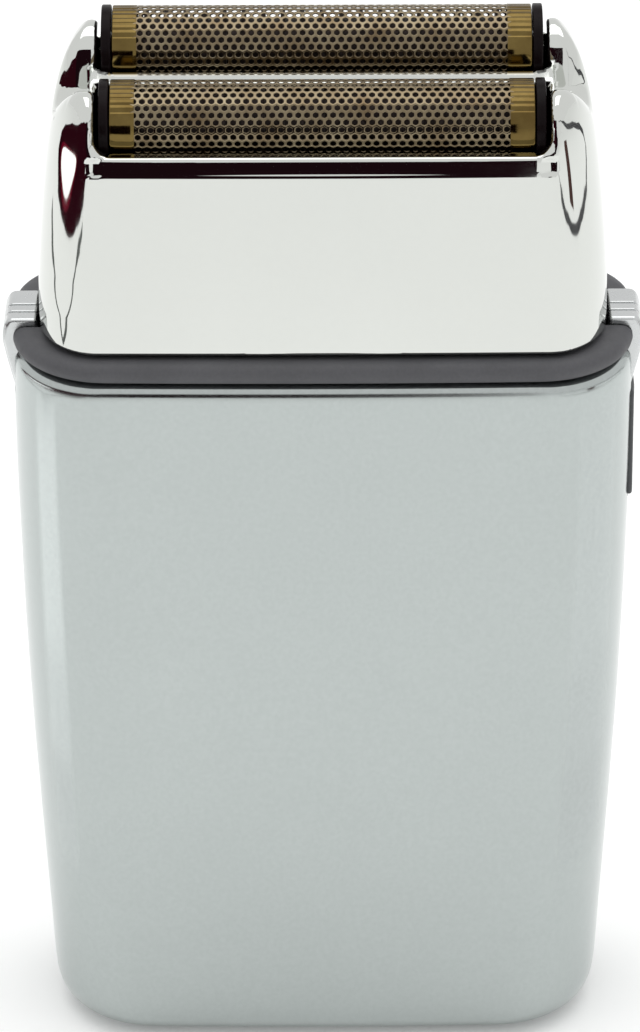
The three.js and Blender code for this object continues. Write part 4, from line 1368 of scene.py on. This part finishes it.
def screen(name, rings, on_plane, color, strength=1.0):
    """Flat glowing screen seen only in reflections.

    rings holds one closed outline, or the two edges of a band; on_plane takes its points
    to x, y, z in millimetres.
    """
    mesh = bpy.data.meshes.new(name)
    points = [tuple(c / 1000 for c in on_plane(*point)) for ring in rings for point in ring]
    count = len(rings[0])
    if len(rings) == 1:
        faces = [tuple(range(count))]
    else:
        faces = [(i, (i + 1) % count, count + (i + 1) % count, count + i) for i in range(count)]
    mesh.from_pydata(points, [], faces)
    ob = bpy.data.objects.new(name, mesh)
    scene.collection.objects.link(ob)
    glow = bpy.data.materials.new(name)
    glow.use_nodes = True
    tree = glow.node_tree
    tree.nodes.clear()
    output = tree.nodes.new("ShaderNodeOutputMaterial")
    emission = tree.nodes.new("ShaderNodeEmission")
    emission.inputs[0].default_value = (*color, 1)
    emission.inputs[1].default_value = strength
    tree.links.new(emission.outputs[0], output.inputs[0])
    mesh.materials.append(glow)
    ob.visible_camera = False
    ob.visible_diffuse = False
    ob.visible_shadow = False
    ob.visible_transmission = False
    ob.visible_volume_scatter = False


def at_x(x):
    return lambda y, z: (x, y, z)


def leaning_oval(centre_y, centre_z, half_y, half_z):
    """Oval outline that falls 5 mm from its middle to its rear end."""
    outline = []
    for k in range(32):
        angle = 2 * math.pi * k / 32
        outline.append((centre_y + half_y * math.cos(angle),
                        centre_z - 5.0 * math.cos(angle) + half_z * math.sin(angle)))
    return outline


def ribbon(line, width):
    """Outline of a strip of even width along a line."""
    line = np.array(line, float)
    along = np.gradient(line, axis=0)
    across = np.stack([-along[:, 1], along[:, 0]], 1) / np.hypot(*along.T)[:, None]
    return [*(line - across * width / 2), *(line + across * width / 2)[::-1]]


def rim_inner_edge():
    """SIDE_SCREEN drawn in: 3 mm from below, 5 mm from above, 5 or 6 mm at the ends."""
    inner = []
    for i, (y, z) in enumerate(SIDE_SCREEN):
        shift_y = 5 if y < -300 else (-6 if y > 90 else 0)
        inner.append((y + shift_y, z + (3.0 if i < 10 else -5.0)))
    return inner


def pool(name, start, end, inner, outer, strength):
    """Arc of light just above the floor; degrees from the front towards the left, radii in mm.

    The satin corners pick it up as a soft upright band.
    """
    angles = [math.radians(a) for a in np.linspace(start, end, 9)]
    outline = [(-inner * math.sin(a), -inner * math.cos(a)) for a in angles]
    outline += [(-outer * math.sin(a), -outer * math.cos(a)) for a in angles[::-1]]
    screen(name, [outline], lambda x, y: (x, y, 0.2), WHITE, strength)


# in front: a dark screen that the foils and the step under them mirror
screen("dark_front", [[(-200, 26), (43, 26), (43, 174), (-200, 174)]],
       lambda x, z: (x, -355, z), NEAR_BLACK)
# left: a dark screen with a lamp before it
screen("dark_left", [SIDE_SCREEN], at_x(-200), MAROON)
screen("lamp_left", [leaning_oval(centre_y=20, centre_z=59.5, half_y=73, half_z=9.6)],
       at_x(-199), WHITE, strength=1.6)
screen("glow_left", [leaning_oval(centre_y=22, centre_z=58.8, half_y=86, half_z=11.8)],
       at_x(-199.5), color=(0.16, 0.004, 0.018))
# right: only the dark rim of a screen, and a small strip
screen("rim_right", [SIDE_SCREEN, rim_inner_edge()], at_x(200), color=(0.09, 0.09, 0.095))
screen("strip_right", [[(-80, 50), (-45, 50), (-45, 84), (-80, 84)]],
       at_x(199), color=(0.09, 0.05, 0.045))
# the edge of the sweep, a thin dark line in the lower half of the head's left corner
screen("edge_left", [ribbon(SWEEP_EDGE, width=4.0)], at_x(-198.5), color=(0.14, 0.15, 0.145))

# pools on the floor, brighter further out: inner radius, outer radius, share of the added light
for i, (inner, outer, share) in enumerate(((110, 196, 1.0), (82, 110, 0.6), (58, 82, 0.25))):
    pool(f"pool_left_{i}", start=77, end=103, inner=inner, outer=outer,
         strength=1.04 + 0.42 * share)
    pool(f"pool_right_{i}", start=-112, end=-62, inner=inner, outer=outer,
         strength=1.04 + 0.16 * share)


# ------------------------------------------------------------------ picture
scene.view_settings.view_transform = "Standard"
scene.view_settings.look = "None"
scene.view_settings.exposure = 0.0
scene.view_settings.gamma = 1.0


def add_camera(elevation, distance, target, roll, shift_x):
    """Long lens looking down at the front; angles in degrees, lengths in metres."""
    lens = bpy.data.cameras.new("camera")
    lens.lens = 200
    lens.sensor_width = 36
    lens.clip_start, lens.clip_end = 0.01, 50
    lens.shift_x = shift_x
    camera = bpy.data.objects.new("camera", lens)
    scene.collection.objects.link(camera)
    elevation = math.radians(elevation)
    forward = Vector((0, math.cos(elevation), -math.sin(elevation)))
    camera.location = Vector(target) - forward * distance
    camera.rotation_mode = "QUATERNION"
    level = forward.to_track_quat("-Z", "Y")
    camera.rotation_quaternion = level @ Quaternion((0, 0, 1), math.radians(roll))
    scene.camera = camera


# the shaver stands a little right of the middle of the picture and leans slightly
add_camera(elevation=25, distance=0.606, target=(0, 0, 0.0562), roll=-0.2, shift_x=-0.0034884)
